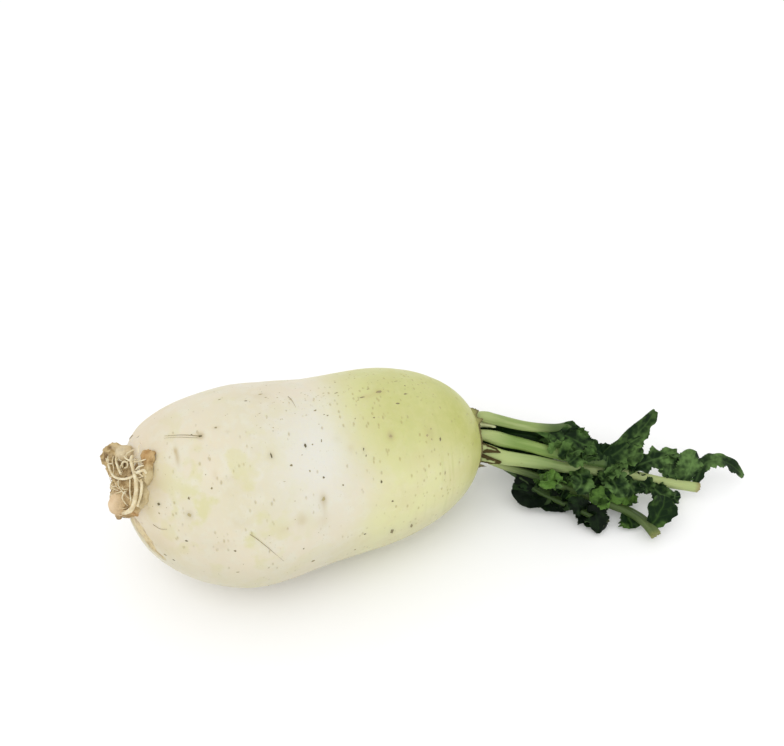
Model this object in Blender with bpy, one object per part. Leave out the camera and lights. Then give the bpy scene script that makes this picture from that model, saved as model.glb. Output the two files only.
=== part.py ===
"""A stout white radish lying on its side, as pulled from the ground and trimmed.

One smooth root with a pale green shoulder, the corky broken tail with its curled rootlets,
the ragged ring of old leaf scars round the crown, and the cut leaves that spread from it.

Metres, +Z up. +X runs from the tail to the crown. The origin is on the small flat spot under
the root, on which it rests. Routes and lobes are given in millimetres.
"""

import math
import random
from typing import NamedTuple

import bmesh
import bpy
import numpy as np
from mathutils import Vector, noise

MM = 0.001
GAP = 0.0003                # clearance between neighbouring pieces
SHARP_ANGLE = math.radians(40)

# The root. Its radius is fullness * sqrt(u * (1 - u)), with u from the tail to the crown.
ROOT_LENGTH = 0.190
ROOT_TILT = math.radians(4.9)          # the crown end hangs lower than the tail end
ROOT_TAIL = (-0.0951, 0.0070, 0.0562)  # where the axis leaves the tail end
ROOT_BEND = 0.0072                     # sideways bow of the axis, to -Y
ROOT_SWAY = 0.0032                     # the bow lies nearer the tail by this much
ROOT_FULLNESS = ((0.0, 0.150), (0.1, 0.129), (0.2, 0.119), (0.3, 0.1125), (0.4, 0.104),
                 (0.5, 0.0975), (0.6, 0.098), (0.7, 0.1025), (0.8, 0.107), (0.9, 0.1125),
                 (1.0, 0.121))
ROOT_DENTS = 0.0006                    # depth of the shallow lumps and hollows
ROOT_RINGS = 32
ROOT_SIDES = 40

# The corky tail sits on the upper front of the root's end. Its places are in millimetres out
# of the skin, up along it, and round it towards the crown.
TAIL_MIDDLE = (-0.0868, -0.0051, 0.0787)
TAIL_OUT = (-0.83, -0.22, 0.51)
TAIL_RISE = (0.25, 0.67, 0.69)
CRUST = (-3.0, -6.0, -3.0), (7.5, 14.4, 17.0), 2.2    # middle, half sizes, roughness
CRUST_SQUARENESS = 3.2                 # 2 would give it a round outline
CRUST_LEAN = 0.35                      # its lower part leans away from the crown
STUB = (3.0, -13.8, -4.8), (4.8, 6.0, 6.8), 0.7
KNOBS = (((0.4, 9.2, -9.5), (4.2, 4.4, 8.0), 1.2), ((3.0, 10.6, -16.0), (3.8, 3.8, 4.6), 1.6),
         ((3.2, 6.6, -18.6), (4.0, 5.2, 4.4), 1.4), ((-2.4, 9.4, 11.0), (2.5, 4.0, 5.0), 1.6),
         ((-1.2, 2.0, 13.0), (3.0, 6.0, 3.4), 1.6), ((-0.5, 1.5, -19.0), (4.5, 5.0, 4.5), 1.4),
         ((1.6, -19.6, -7.2), (1.8, 2.4, 2.0), 0.5))
CAVITY_AT = (5.0, 3.0, 0.3)            # middle of the hollow that the rootlets cross
CAVITY_SIZE = (9.0, 7.0, 13.0)
CAVITY_DEPTH = 2.6
# Each curled rootlet has a route and its radii at the start and the end.
ROOTLETS = (
    (((3.4, 9.5, -17), (4.8, 7.3, -16.3), (5.4, 2.7, -13.6), (5.8, -1.1, -7.2),
      (5.6, -1.8, 1.1), (4.8, -0.5, 8.2), (3.8, 0.9, 10.5)), 0.6, 0.6),
    (((2.0, 9, 3), (3.4, 7.3, 5.2), (3.8, 2, 9.5), (3.8, -1, 12), (3.4, -6.5, 12.4),
      (3.2, -13, 10.4), (3, -16.3, 6), (2.6, -17.6, -0.5)), 0.8, 1.2),
    (((3.0, 1.3, 10.2), (3.2, 2.5, 13.1), (1.8, 3.4, 15.4), (0.6, 1.8, 15.6),
      (0.4, -0.5, 14.4)), 0.7, 0.6),
    (((2.6, 8.5, -10), (4.2, 6.8, -9.3), (4.2, 3.2, -6.7), (5, 0.4, -1.2)), 0.6, 0.6),
    (((2.2, -1, 13.6), (1.8, -3, 14.2), (1.6, -8, 13.6), (1.8, -13.5, 11.4)), 0.7, 0.6),
)

# The crown.
CROWN_RING_RADIUS = 0.0172
CROWN_RING_BULGE = 0.0018   # it bulges round the long leaf's base
CROWN_RING_BULGE_AT = math.radians(195)
CROWN_RING_THICKNESS = 0.0013
CROWN_RING_STATIONS = 40
CROWN_RING_SUNK = 0.0015               # how deep it stands in the skin
CROWN_RING_TIPS = (0.9, 2.2)           # how far its ragged edge stands out, in mm
CROWN_RING_SHEATHS = {10: 4.2, 29: 4.0}    # the pointed sheaths: station and reach in mm
TORN_BASE_SPAN = (1, 8)                # where it lies, in sixtieths of the long leaf's stalk
TORN_BASE_RADII = (0.0060, 0.0072)     # inner and outer
# Its torn edge, with two pointed scales and a deep notch between them: the turn round the stalk
# in degrees and how far it reaches, in mm.
TORN_BASE_EDGE = ((-100, 2.5), (-86, 10.5), (-65, 13.0), (-37, 2.0), (-17, 15.3), (2, 14.5),
                  (21, 10.8), (28, 4.5))
HEART_ROUTE = ((88, 9.6, 45.8), (94, 9.2, 46.4), (98, 8.2, 46.7), (101.5, 6.5, 46.6),
               (104.5, 4.8, 45.9))
HEART_RADII = (2.7, 0.8)               # at the base and the cut end, in mm

# Leaves.
BLADE_THICKNESS = 0.0008
STALK_SIDES = 12
STALK_STATIONS = 13


class Lobe(NamedTuple):
    """One torn lobe of a leaf blade: its middle line starts in the stalk at a fraction of the
    stalk's length and runs through mid to tip. Lengths are in millimetres."""
    at: float
    mid: tuple
    tip: tuple
    width: float
    face: tuple             # the way that its upper side looks
    cup: float = 1.5        # how far its edges rise
    wave: float = 1.2       # how far its edges ruffle
    waves: float = 1.6      # ruffles along each edge
    teeth: float = 0.11     # depth of the teeth, as a share of its half width
    widest: float = 0.58    # how far along it is widest
    pointed: float = 0.5    # a high power draws the tip out to a point
    spans: tuple = (8, 4)   # quads along and across


class Leaf(NamedTuple):
    """A leaf: its stalk's route from inside the root outwards, half widths of the stalk at its
    base and its cut end, the way to the middle of the crown, its colour and its lobes, and how
    wide its foot is as a share of the stalk above it."""
    route: tuple
    base: float
    end: float
    inner: tuple
    colour: tuple
    lobes: tuple
    foot: float = 1.0


NEAR = (-0.2, -0.75, 0.6)   # looks to the front and up
UP = (0.0, -0.3, 0.95)

LEAVES = {
    "leaf_top": Leaf(
        route=((88, 11.5, 52), (96.5, 10.7, 51), (105.5, 8, 48), (121, 3, 43.5),
               (138, -0.5, 40), (149.5, -0.5, 39.5)),
        base=4.6, foot=0.5, end=3.2, inner=(0, -0.3, -1), colour=(0.17, 0.27, 0.08),
        lobes=(
            Lobe(0.80, (147.5, -12, 38.5), (156, -18.5, 37), 12, UP, cup=0.8),
            Lobe(0.97, (151.5, -7, 37.5), (154, -11, 35.5), 8, NEAR),
            Lobe(0.60, (135.5, -6, 40.5), (131.5, -8, 41), 9, UP, cup=0.5, wave=0.6),
            Lobe(0.88, (149, 6.5, 28), (153, 9.5, 22), 12, (0, 0.6, 0.8)),
        )),
    "leaf_upper": Leaf(
        route=((88, 3, 46.5), (96.5, 1.2, 45.5), (107.5, -2, 41.3), (118.5, -4.4, 37),
               (130, -10, 34.3), (139.5, -14.7, 32.7), (148.5, -18.5, 31.5), (160.5, -23, 29.5)),
        base=4.6, foot=0.65, end=3.2, inner=(0, 0.6, -0.8), colour=(0.11, 0.20, 0.06),
        lobes=(
            Lobe(0.97, (173, -22.5, 42), (192.5, -11.5, 50), 13, (-0.1, -0.8, 0.6),
                 wave=0.9, waves=1.8, teeth=0.12, widest=0.3, spans=(12, 6)),
            Lobe(0.80, (144, -19.5, 35.5), (138, -21.5, 34), 11, UP, cup=0.5, wave=0.8),
            Lobe(0.50, (126, 0, 32), (133, 3.5, 30), 10, (0, 0.3, 0.9), cup=0.5),
            Lobe(0.94, (169, -23.5, 34), (180, -27.5, 35.5), 14, NEAR, spans=(9, 5)),
            Lobe(0.88, (158, -15, 27), (163, -11, 22), 10, (0, 0.3, 0.9)),
        )),
    "leaf_long": Leaf(
        route=((88, -1.5, 40), (95.5, -3.8, 38), (105, -7.2, 34.2), (122, -11.3, 29.6),
               (139, -15.2, 24.2), (155, -19, 21), (177, -25.5, 16.5), (193, -32, 13),
               (213.5, -40, 10)),
        base=5.4, end=3.3, inner=(0, 1, 0.2), colour=(0.21, 0.32, 0.12),
        lobes=(
            Lobe(0.57, (161.5, -26.5, 25), (168, -28, 23.5), 10, UP, cup=0.8),
            Lobe(0.64, (190, -25, 24), (205.5, -24, 25), 11, (-0.1, -0.5, 0.85), teeth=0.2,
                 spans=(9, 4)),
            Lobe(0.93, (208.5, -34.5, 21), (214, -28, 28), 16.5, (-0.1, -0.9, 0.4), cup=-2.0,
                 wave=1.3, widest=0.7, spans=(9, 6)),
            Lobe(0.975, (224.5, -32.5, 22), (243, -40, 10), 9, UP, cup=0.5, wave=0.8, teeth=0.2,
                 spans=(11, 3)),
            Lobe(0.56, (162, -34, 23), (159.5, -39, 20.5), 14, UP, wave=1.4),
            Lobe(0.44, (145, -27, 24), (139.5, -31.5, 21.5), 13, UP, cup=1.0),
            Lobe(0.78, (191, -39.5, 10), (203, -40.5, 6), 9, (-0.2, -0.6, 0.75)),
            Lobe(0.86, (199, -30.5, 19), (200.5, -25, 26), 13, NEAR),
            Lobe(0.66, (174, -35, 15), (175.5, -35, 11), 11, NEAR),
        )),
    "leaf_low": Leaf(
        route=((88, 3.5, 31.5), (95.5, 0, 29.7), (105.5, -5.6, 26), (122.5, -12.8, 20.4),
               (144.5, -25, 12.5), (161.5, -37, 9), (169.5, -44, 8), (174.5, -52, 7),
               (176.5, -61, 6)),
        base=2.3, end=3.3, inner=(0, 0.6, 0.8), colour=(0.09, 0.17, 0.05),
        lobes=(
            Lobe(0.72, (160, -35.5, 14), (149, -32, 13.5), 14, NEAR, wave=1.2, spans=(9, 5)),
            Lobe(0.80, (168, -47, 4.5), (168, -51, 2.2), 13, UP, cup=0.3, wave=0.4),
            Lobe(0.95, (182.5, -52, 14.5), (187, -46, 18), 16.5, NEAR, cup=2.0, spans=(9, 5),
                 teeth=0.08),
            Lobe(0.42, (129.5, -22.5, 23), (124, -21.5, 24.5), 11, NEAR, cup=-2.0),
            Lobe(0.55, (150, -21, 12), (158, -16, 12), 16, UP),
            Lobe(0.80, (171, -35, 9), (176, -31.5, 9), 12, UP),
        )),
    "leaf_bottom": Leaf(
        route=((88, 10, 30), (95.5, 7, 27.5), (107.5, 1, 20), (117.5, -6.6, 14),
               (128.5, -18, 8.2), (142.5, -30, 5.5), (149.5, -38, 5), (154, -46, 5)),
        base=2.8, end=3.0, inner=(0, 0, 1), colour=(0.04, 0.09, 0.03),
        lobes=(
            Lobe(0.57, (121.5, -18.3, 8), (111.5, -11.5, 10.5), 16, (0, -0.4, 0.9), teeth=0.03,
                 wave=0.4, spans=(9, 5)),
            Lobe(0.76, (147, -35, 3.5), (152, -46, 2), 15, UP, cup=0.6, wave=0.6,
                 spans=(9, 5)),
            Lobe(0.62, (144, -21, 4), (150, -17, 3), 13, UP, wave=0.8),
            Lobe(0.84, (141.5, -36, 13), (136, -32, 14), 10, NEAR, cup=0.8, wave=0.8),
            Lobe(0.68, (136, -23, 4), (129, -24, 3), 14, UP, cup=0.8, wave=0.3, teeth=0.03,
                 spans=(9, 5)),
        )),
    "leaf_far": Leaf(
        route=((88, 13, 37), (95.5, 16, 35.5), (108.5, 19, 27), (124, 19, 15),
               (138, 15, 8), (148, 9, 6)),
        base=3.8, end=3.0, inner=(0, -1, 0.3), colour=(0.12, 0.21, 0.07),
        lobes=(
            Lobe(0.72, (137, 24, 6), (145, 31, 3), 15, (0, 0.3, 0.95), wave=0.9),
            Lobe(0.96, (159, 4, 7), (171, 1, 5), 15, (0, 0.1, 1.0)),
            Lobe(0.52, (126, 11, 19), (134, 7, 19), 14, NEAR),
            Lobe(0.85, (150, 14, 6), (161, 16, 4), 13, UP, wave=0.8),
            Lobe(0.30, (110, 12, 25), (120, 8, 24), 11, NEAR),
        )),
}


def clear_scene():
    for obj in list(bpy.data.objects):
        bpy.data.objects.remove(obj, do_unlink=True)


def material(name, colour, roughness):
    mat = bpy.data.materials.new(name)
    mat.use_nodes = True
    shader = mat.node_tree.nodes["Principled BSDF"]
    shader.inputs["Base Color"].default_value = (*colour, 1.0)
    shader.inputs["Roughness"].default_value = roughness
    shader.inputs["Metallic"].default_value = 0.0
    mat.diffuse_color = (*colour, 1.0)
    return mat


def add_object(name, verts, faces, mat=None):
    mesh = bpy.data.meshes.new(name)
    mesh.from_pydata([tuple(v) for v in verts], [], faces)
    mesh.validate()
    obj = bpy.data.objects.new(name, mesh)
    bpy.context.scene.collection.objects.link(obj)
    if mat:
        mesh.materials.append(mat)
    face_out(obj)
    return obj


def face_out(obj):
    bm = bmesh.new()
    bm.from_mesh(obj.data)
    bmesh.ops.recalc_face_normals(bm, faces=bm.faces)
    bm.to_mesh(obj.data)
    bm.free()


def unit(vector):
    vector = np.asarray(vector, float)
    return vector / np.linalg.norm(vector)


def knots_at(knots, u):
    """A smooth curve through (place, value) knots, read at u."""
    xs = np.array([k[0] for k in knots])
    ys = np.array([k[1] for k in knots])
    slopes = np.gradient(ys, xs)
    i = int(np.clip(np.searchsorted(xs, u) - 1, 0, len(xs) - 2))
    h = xs[i + 1] - xs[i]
    t = (u - xs[i]) / h
    return ((2 * t**3 - 3 * t**2 + 1) * ys[i] + (t**3 - 2 * t**2 + t) * h * slopes[i]
            + (3 * t**2 - 2 * t**3) * ys[i + 1] + (t**3 - t**2) * h * slopes[i + 1])


def smooth_path(points, count):
    """Evenly spaced places along a smooth curve through the points."""
    points = np.asarray(points, float)
    ends = np.vstack([2 * points[0] - points[1], points, 2 * points[-1] - points[-2]])
    dense = []
    for i in range(len(points) - 1):
        p0, p1, p2, p3 = ends[i:i + 4]
        for t in np.linspace(0, 1, 12, endpoint=False):
            dense.append(0.5 * (2 * p1 + (p2 - p0) * t + (2 * p0 - 5 * p1 + 4 * p2 - p3) * t**2
                                + (3 * p1 - p0 - 3 * p2 + p3) * t**3))
    dense.append(points[-1])
    dense = np.array(dense)
    lengths = np.concatenate([[0], np.cumsum(np.linalg.norm(np.diff(dense, axis=0), axis=1))])
    wanted = np.linspace(0, lengths[-1], count)
    return np.stack([np.interp(wanted, lengths, dense[:, k]) for k in range(3)], axis=1)


def tube(name, path, sections):
    """A closed tube whose section at each station is a list of 3-D points."""
    sides = len(sections[0])
    verts = [p for ring in sections for p in ring]
    faces = []
    for i in range(len(sections) - 1):
        for j in range(sides):
            a, b = i * sides + j, i * sides + (j + 1) % sides
            faces.append((a, b, b + sides))
            faces.append((a, b + sides, a + sides))
    start, end = len(verts), len(verts) + 1
    verts += [path[0], path[-1]]
    last = (len(sections) - 1) * sides
    for j in range(sides):
        faces.append((start, (j + 1) % sides, j))
        faces.append((end, last + j, last + (j + 1) % sides))
    return add_object(name, verts, faces)


def round_tube(name, points, radius, tip_radius, stations, sides):
    path = smooth_path(points, stations)
    tangents = np.gradient(path, axis=0)
    across = unit(np.cross(tangents[0], (0.3, 0.5, 0.8)))
    sections = []
    for i, (place, tangent) in enumerate(zip(path, tangents)):
        tangent = unit(tangent)
        across = unit(across - tangent * np.dot(across, tangent))
        other = np.cross(tangent, across)
        r = radius + (tip_radius - radius) * i / (stations - 1)
        turns = [2 * math.pi * j / sides for j in range(sides)]
        sections.append([place + r * (math.cos(a) * across + math.sin(a) * other)
                         for a in turns])
    return tube(name, path, sections)


# The root


def root_axis(u):
    bow = -ROOT_BEND * 4 * u * (1 - u) - ROOT_SWAY * math.sin(2 * math.pi * u)
    along = u * ROOT_LENGTH
    return Vector(ROOT_TAIL) + Vector((along * math.cos(ROOT_TILT), bow,
                                       -along * math.sin(ROOT_TILT)))


def root_point(u, turn):
    """The root's skin at a share of its length and a turn round its axis."""
    radius = knots_at(ROOT_FULLNESS, u) * math.sqrt(max(u * (1 - u), 0.0))
    side = Vector((math.sin(ROOT_TILT) * math.sin(turn), math.cos(turn),
                   math.cos(ROOT_TILT) * math.sin(turn)))
    place = root_axis(u) + side * radius
    lumps = noise.noise(place * 26.0) + 0.5 * noise.noise(place * 61.0)
    return place + side * lumps * ROOT_DENTS * min(1.0, radius / 0.02)


def root_mesh(name, growth=0.0):
    verts = [root_axis(0.0)]
    for k in range(1, ROOT_RINGS):
        u = (1 - math.cos(math.pi * k / ROOT_RINGS)) / 2
        verts += [root_point(u, 2 * math.pi * j / ROOT_SIDES) for j in range(ROOT_SIDES)]
    verts.append(root_axis(1.0))
    faces = []
    for k in range(ROOT_RINGS - 2):
        for j in range(ROOT_SIDES):
            a, b = 1 + k * ROOT_SIDES + j, 1 + k * ROOT_SIDES + (j + 1) % ROOT_SIDES
            faces.append((a, b, b + ROOT_SIDES, a + ROOT_SIDES))
    last, crown = 1 + (ROOT_RINGS - 2) * ROOT_SIDES, len(verts) - 1
    for j in range(ROOT_SIDES):
        faces.append((0, 1 + (j + 1) % ROOT_SIDES, 1 + j))
        faces.append((crown, last + j, last + (j + 1) % ROOT_SIDES))
    obj = add_object(name, verts, faces)
    if growth:
        grown = [v.co + v.normal * growth for v in obj.data.vertices]
        for vert, place in zip(obj.data.vertices, grown):
            vert.co = place
    return obj


def make_root():
    obj = root_mesh("root")
    bm = bmesh.new()
    bm.from_mesh(obj.data)
    cut = bmesh.ops.bisect_plane(bm, geom=bm.verts[:] + bm.edges[:] + bm.faces[:],
                                 plane_co=(0, 0, 0), plane_no=(0, 0, 1), clear_inner=True)
    rim = [g for g in cut["geom_cut"] if isinstance(g, bmesh.types.BMEdge)]
    bmesh.ops.contextual_create(bm, geom=rim)
    bmesh.ops.recalc_face_normals(bm, faces=bm.faces)
    bm.to_mesh(obj.data)
    bm.free()
    obj.data.materials.append(material("radish_skin", (0.80, 0.79, 0.62), 0.42))
    obj.data.shade_smooth()
    obj.data.set_sharp_from_angle(angle=SHARP_ANGLE)
    return obj


# Fusing and trimming


def apply_modifiers(obj):
    depsgraph = bpy.context.evaluated_depsgraph_get()
    mesh = bpy.data.meshes.new_from_object(obj.evaluated_get(depsgraph))
    obj.modifiers.clear()
    old = obj.data
    obj.data = mesh
    bpy.data.meshes.remove(old)


def keep_largest(obj):
    """Drop the scraps that trimming leaves, and keep the one body."""
    bm = bmesh.new()
    bm.from_mesh(obj.data)
    left = set(bm.verts)
    bodies = []
    while left:
        body, queue = set(), [next(iter(left))]
        while queue:
            vert = queue.pop()
            if vert in body:
                continue
            body.add(vert)
            queue += [e.other_vert(vert) for e in vert.link_edges]
        bodies.append(body)
        left -= body
    scraps = [v for b in sorted(bodies, key=len)[:-1] for v in b]
    bmesh.ops.delete(bm, geom=scraps, context="VERTS")
    bm.to_mesh(obj.data)
    bm.free()


def fuse(name, pieces, cutter, mat, solver="EXACT"):
    """Join closed pieces into one body, trim it clear of the cutter and name it."""
    body, rest = pieces[0], pieces[1:]
    if rest:
        group = bpy.data.collections.new(name + "_pieces")
        for piece in rest:
            group.objects.link(piece)
        join = body.modifiers.new("join", "BOOLEAN")
        join.operation = "UNION"
        join.operand_type = "COLLECTION"
        join.collection = group
        join.solver = solver
        apply_modifiers(body)
        for piece in rest:
            bpy.data.objects.remove(piece, do_unlink=True)
        bpy.data.collections.remove(group)
    trim = body.modifiers.new("trim", "BOOLEAN")
    trim.operation = "DIFFERENCE"
    trim.object = cutter
    trim.solver = solver
    apply_modifiers(body)
    keep_largest(body)
    body.name = name
    body.data.name = name
    body.data.materials.clear()
    body.data.materials.append(mat)
    body.data.shade_smooth()
    body.data.set_sharp_from_angle(angle=SHARP_ANGLE)
    return body


def as_cutter(obj):
    obj.hide_render = True
    obj.display_type = "WIRE"
    return obj


# The tail


def at_tail(out, rise, side):
    """A place by the tail, in millimetres along its own directions."""
    way_out = Vector(TAIL_OUT).normalized()
    way_up = Vector(TAIL_RISE)
    way_up = (way_up - way_out * way_up.dot(way_out)).normalized()
    return Vector(TAIL_MIDDLE) + (way_out * out + way_up * rise
                                  + way_up.cross(way_out) * side) * MM


def lump(name, shape, detail, seed, hollow=False):
    """A knobbly round body; the crust has a hollow in it."""
    centre, size, roughness = shape
    bm = bmesh.new()
    bmesh.ops.create_icosphere(bm, subdivisions=detail, radius=1.0)
    middle = at_tail(*centre)
    for vert in bm.verts:
        way = vert.co.copy()
        if hollow:
            power = CRUST_SQUARENESS
            flat = (abs(way.y) ** power + abs(way.z) ** power) ** (1 / power)
            way.yz = way.yz * (way.yz.length / max(flat, 1e-6))
        local = [c + w * s for c, w, s in zip(centre, way, size)]
        if hollow:
            local[2] += CRUST_LEAN * min(0.0, local[1] - centre[1])
        place = at_tail(*local)
        shift = roughness * noise.noise(place * 190.0 + Vector((seed, 0, 0)))
        shift += 0.5 * roughness * noise.noise(place * 420.0 + Vector((0, seed, 0)))
        if hollow:
            near = sum(((a - b) / c) ** 2 for a, b, c in zip(local, CAVITY_AT, CAVITY_SIZE))
            shift -= CAVITY_DEPTH * max(0.0, 1 - near)
        vert.co = place + (place - middle).normalized() * shift * MM
    obj = bpy.data.objects.new(name, bpy.data.meshes.new(name))
    bm.to_mesh(obj.data)
    bm.free()
    bpy.context.scene.collection.objects.link(obj)
    return obj


def make_tail(root_clearance):
    """The broken end of the tap root: corky crust, a swollen stub and curled rootlets."""
    pieces = [lump("crust", CRUST, 3, 1.0, hollow=True), lump("stub", STUB, 2, 9.0)]
    pieces += [lump("knob", knob, 1, 3.0 + k) for k, knob in enumerate(KNOBS)]
    for route, radius, end in ROOTLETS:
        places = [at_tail(*p) for p in route]
        pieces.append(round_tube("rootlet", places, radius * MM, end * MM, 9, 6))
    mat = material("tail_cork", (0.52, 0.38, 0.22), 0.85)
    return fuse("tail", pieces, root_clearance, mat)


# The crown


def at_crown(along, y, z):
    """A place by the crown end, in metres along the axis and across it."""
    out = Vector((math.cos(ROOT_TILT), 0, -math.sin(ROOT_TILT)))
    rise = Vector((math.sin(ROOT_TILT), 0, math.cos(ROOT_TILT)))
    return root_axis(1.0) + out * along + Vector((0, 1, 0)) * y + rise * z


def skin_drop(radius):
    """How far the root's skin lies behind the crown's end at a radius from its axis."""
    low, high = 0.5, 1.0
    for _ in range(30):
        u = (low + high) / 2
        if knots_at(ROOT_FULLNESS, u) * math.sqrt(u * (1 - u)) > radius:
            low = u
        else:
            high = u
    return (1 - low) * ROOT_LENGTH


def make_crown_ring(root_clearance):
    """The ragged brown ring left by the sheaths of shed leaves."""
    draw = random.Random(5)
    count = CROWN_RING_STATIONS
    peaks = {k: draw.uniform(*CROWN_RING_TIPS) for k in range(count)}
    peaks.update(CROWN_RING_SHEATHS)
    verts, faces = [], []
    for k in range(count):
        turn = 2 * math.pi * k / count
        bulge = max(0.0, math.cos(turn - CROWN_RING_BULGE_AT))**2
        outer = CROWN_RING_RADIUS + CROWN_RING_BULGE * bulge
        inner = outer - CROWN_RING_THICKNESS
        sunk = -skin_drop(outer) - CROWN_RING_SUNK
        top = -skin_drop(outer) + peaks[k] * MM
        lean = 1 + 0.05 * draw.uniform(-1, 1)
        for radius, along in ((inner, sunk), (outer, sunk), (outer * lean, top),
                              ((inner + 0.0003) * lean, top)):
            verts.append(at_crown(along, radius * math.cos(turn), radius * math.sin(turn)))
    for k in range(count):
        for j in range(4):
            a, b = k * 4 + j, k * 4 + (j + 1) % 4
            c, d = (k + 1) % count * 4 + (j + 1) % 4, (k + 1) % count * 4 + j
            faces += [(a, b, c), (a, c, d)]
    ring = add_object("ring", verts, faces)
    mat = material("dry_sheath", (0.36, 0.25, 0.10), 0.9)
    return fuse("crown_scar_ring", [ring], root_clearance, mat)


def make_torn_stub(root_clearance):
    """The torn base of an outer leaf, which still wraps the front of the long leaf's stalk."""
    leaf = LEAVES["leaf_long"]
    path = smooth_path(leaf.route, 60) * MM
    start, end = TORN_BASE_SPAN
    inner_radius, outer_radius = TORN_BASE_RADII
    turns, reaches = zip(*TORN_BASE_EDGE)
    stations, spans = 6, 16
    tangent = unit(path[end] - path[start])
    outer_way = -unit(np.array(leaf.inner) - tangent * np.dot(leaf.inner, tangent))
    wide_way = np.cross(tangent, outer_way)
    verts, faces = [], []
    for i in range(stations):
        share = i / (stations - 1)
        for radius in (inner_radius - 0.0004 * share, outer_radius - 0.0008 * share):
            for k in range(spans + 1):
                degrees = turns[0] + (turns[-1] - turns[0]) * k / spans
                reach = np.interp(degrees, turns, reaches) * MM * share
                turn = math.radians(degrees)
                verts.append(path[start] + tangent * reach + radius * (
                    math.cos(turn) * outer_way * 0.88 + math.sin(turn) * wide_way))
    row = spans + 1

    def corner(i, layer, k):
        return (i * 2 + layer) * row + k

    def quad(a, b, c, d):
        faces.extend([(a, b, c), (a, c, d)])

    for i in range(stations - 1):
        for k in range(spans):
            quad(corner(i, 0, k), corner(i, 0, k + 1), corner(i + 1, 0, k + 1),
                 corner(i + 1, 0, k))
            quad(corner(i, 1, k), corner(i + 1, 1, k), corner(i + 1, 1, k + 1),
                 corner(i, 1, k + 1))
        for k in (0, spans):
            quad(corner(i, 0, k), corner(i + 1, 0, k), corner(i + 1, 1, k), corner(i, 1, k))
    for i in (0, stations - 1):
        for k in range(spans):
            quad(corner(i, 0, k), corner(i, 1, k), corner(i, 1, k + 1), corner(i, 0, k + 1))
    stub = add_object("stub", verts, faces)
    mat = material("torn_sheath", (0.55, 0.58, 0.33), 0.6)
    return fuse("torn_leaf_base", [stub], root_clearance, mat)


def make_heart_leaf(root_clearance):
    """The pale young leaf in the middle of the crown, cut short."""
    places = [Vector(p) * MM for p in HEART_ROUTE]
    body = round_tube("heart", places, HEART_RADII[0] * MM, HEART_RADII[1] * MM, 8, 8)
    mat = material("young_leaf", (0.62, 0.66, 0.38), 0.5)
    return fuse("heart_leaf", [body], root_clearance, mat)


# Leaves


def stalk_half_width(leaf, share):
    """The stalk is widest a little above the crown, where some of them have a narrow foot."""
    risen = min(1.0, max(0.0, (share - 0.06) / 0.16))
    foot = leaf.foot + (1 - leaf.foot) * risen**2 * (3 - 2 * risen)
    return (leaf.end + (leaf.base - leaf.end) * (1 - share)**3) * foot * MM


def make_stalk(leaf):
    """A stalk that is round outside and flat with a shallow groove towards the crown."""
    path = smooth_path(leaf.route, STALK_STATIONS) * MM
    tangents = np.gradient(path, axis=0)
    sections = []
    for i, (place, tangent) in enumerate(zip(path, tangents)):
        tangent = unit(tangent)
        outer_way = -unit(np.array(leaf.inner) - tangent * np.dot(leaf.inner, tangent))
        wide_way = np.cross(tangent, outer_way)
        half = stalk_half_width(leaf, i / (STALK_STATIONS - 1))
        ring = []
        for j in range(STALK_SIDES):
            turn = 2 * math.pi * j / STALK_SIDES
            depth = math.sin(turn) * 0.92
            if depth < 0:
                lift = abs(math.sin(turn))
                depth = -(0.78 * lift - 0.34 * lift**4)
            ring.append(place + half * (math.cos(turn) * wide_way + depth * outer_way))
        sections.append(ring)
    return tube("stalk", path, sections)


def lobe_outline(share, widest, pointed):
    """Half width of a lobe along its middle line, as a share of its widest."""
    neck, blunt = 0.42, 0.12
    if share < widest:
        return neck + (1 - neck) * math.sin(math.pi / 2 * share / widest)
    return max(blunt, (1 - ((share - widest) / (1.02 - widest))**2)**pointed)


def lobe_rows(lobe, base, seed):
    """Places on the middle layer of a lobe, row by row from its base to its tip."""
    draw = random.Random(seed)
    phases = (draw.uniform(0, 6.3), draw.uniform(0, 6.3))
    along, across = lobe.spans
    mid, tip = np.array(lobe.mid, float) * MM, np.array(lobe.tip, float) * MM
    steer = 2 * mid - (base + tip) / 2
    face = unit(lobe.face)
    rows = []
    for i in range(along + 1):
        t = i / along
        centre = (1 - t)**2 * base + 2 * t * (1 - t) * steer + t**2 * tip
        tangent = unit(2 * (1 - t) * (steer - base) + 2 * t * (tip - steer))
        side = unit(np.cross(tangent, face))
        normal = np.cross(side, tangent)
        half = lobe.width / 2 * lobe_outline(t, lobe.widest, lobe.pointed)
        row = []
        for j in range(across + 1):
            v = 2 * j / across - 1
            reach = half
            if j in (0, across) and 0 < i < along:
                reach *= 1 + lobe.teeth * draw.uniform(0.5, 1.3) * (1 if i % 2 else -1)
            phase = phases[0] if v < 0 else phases[1]
            wave = lobe.wave * v * v * math.sin(2 * math.pi * lobe.waves * t + phase)
            rise = lobe.cup * v * v * (half / (lobe.width / 2)) + wave * min(1.0, 3 * t)
            row.append(centre + (side * v * reach + normal * rise) * MM)
        rows.append(row)
    return rows


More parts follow.
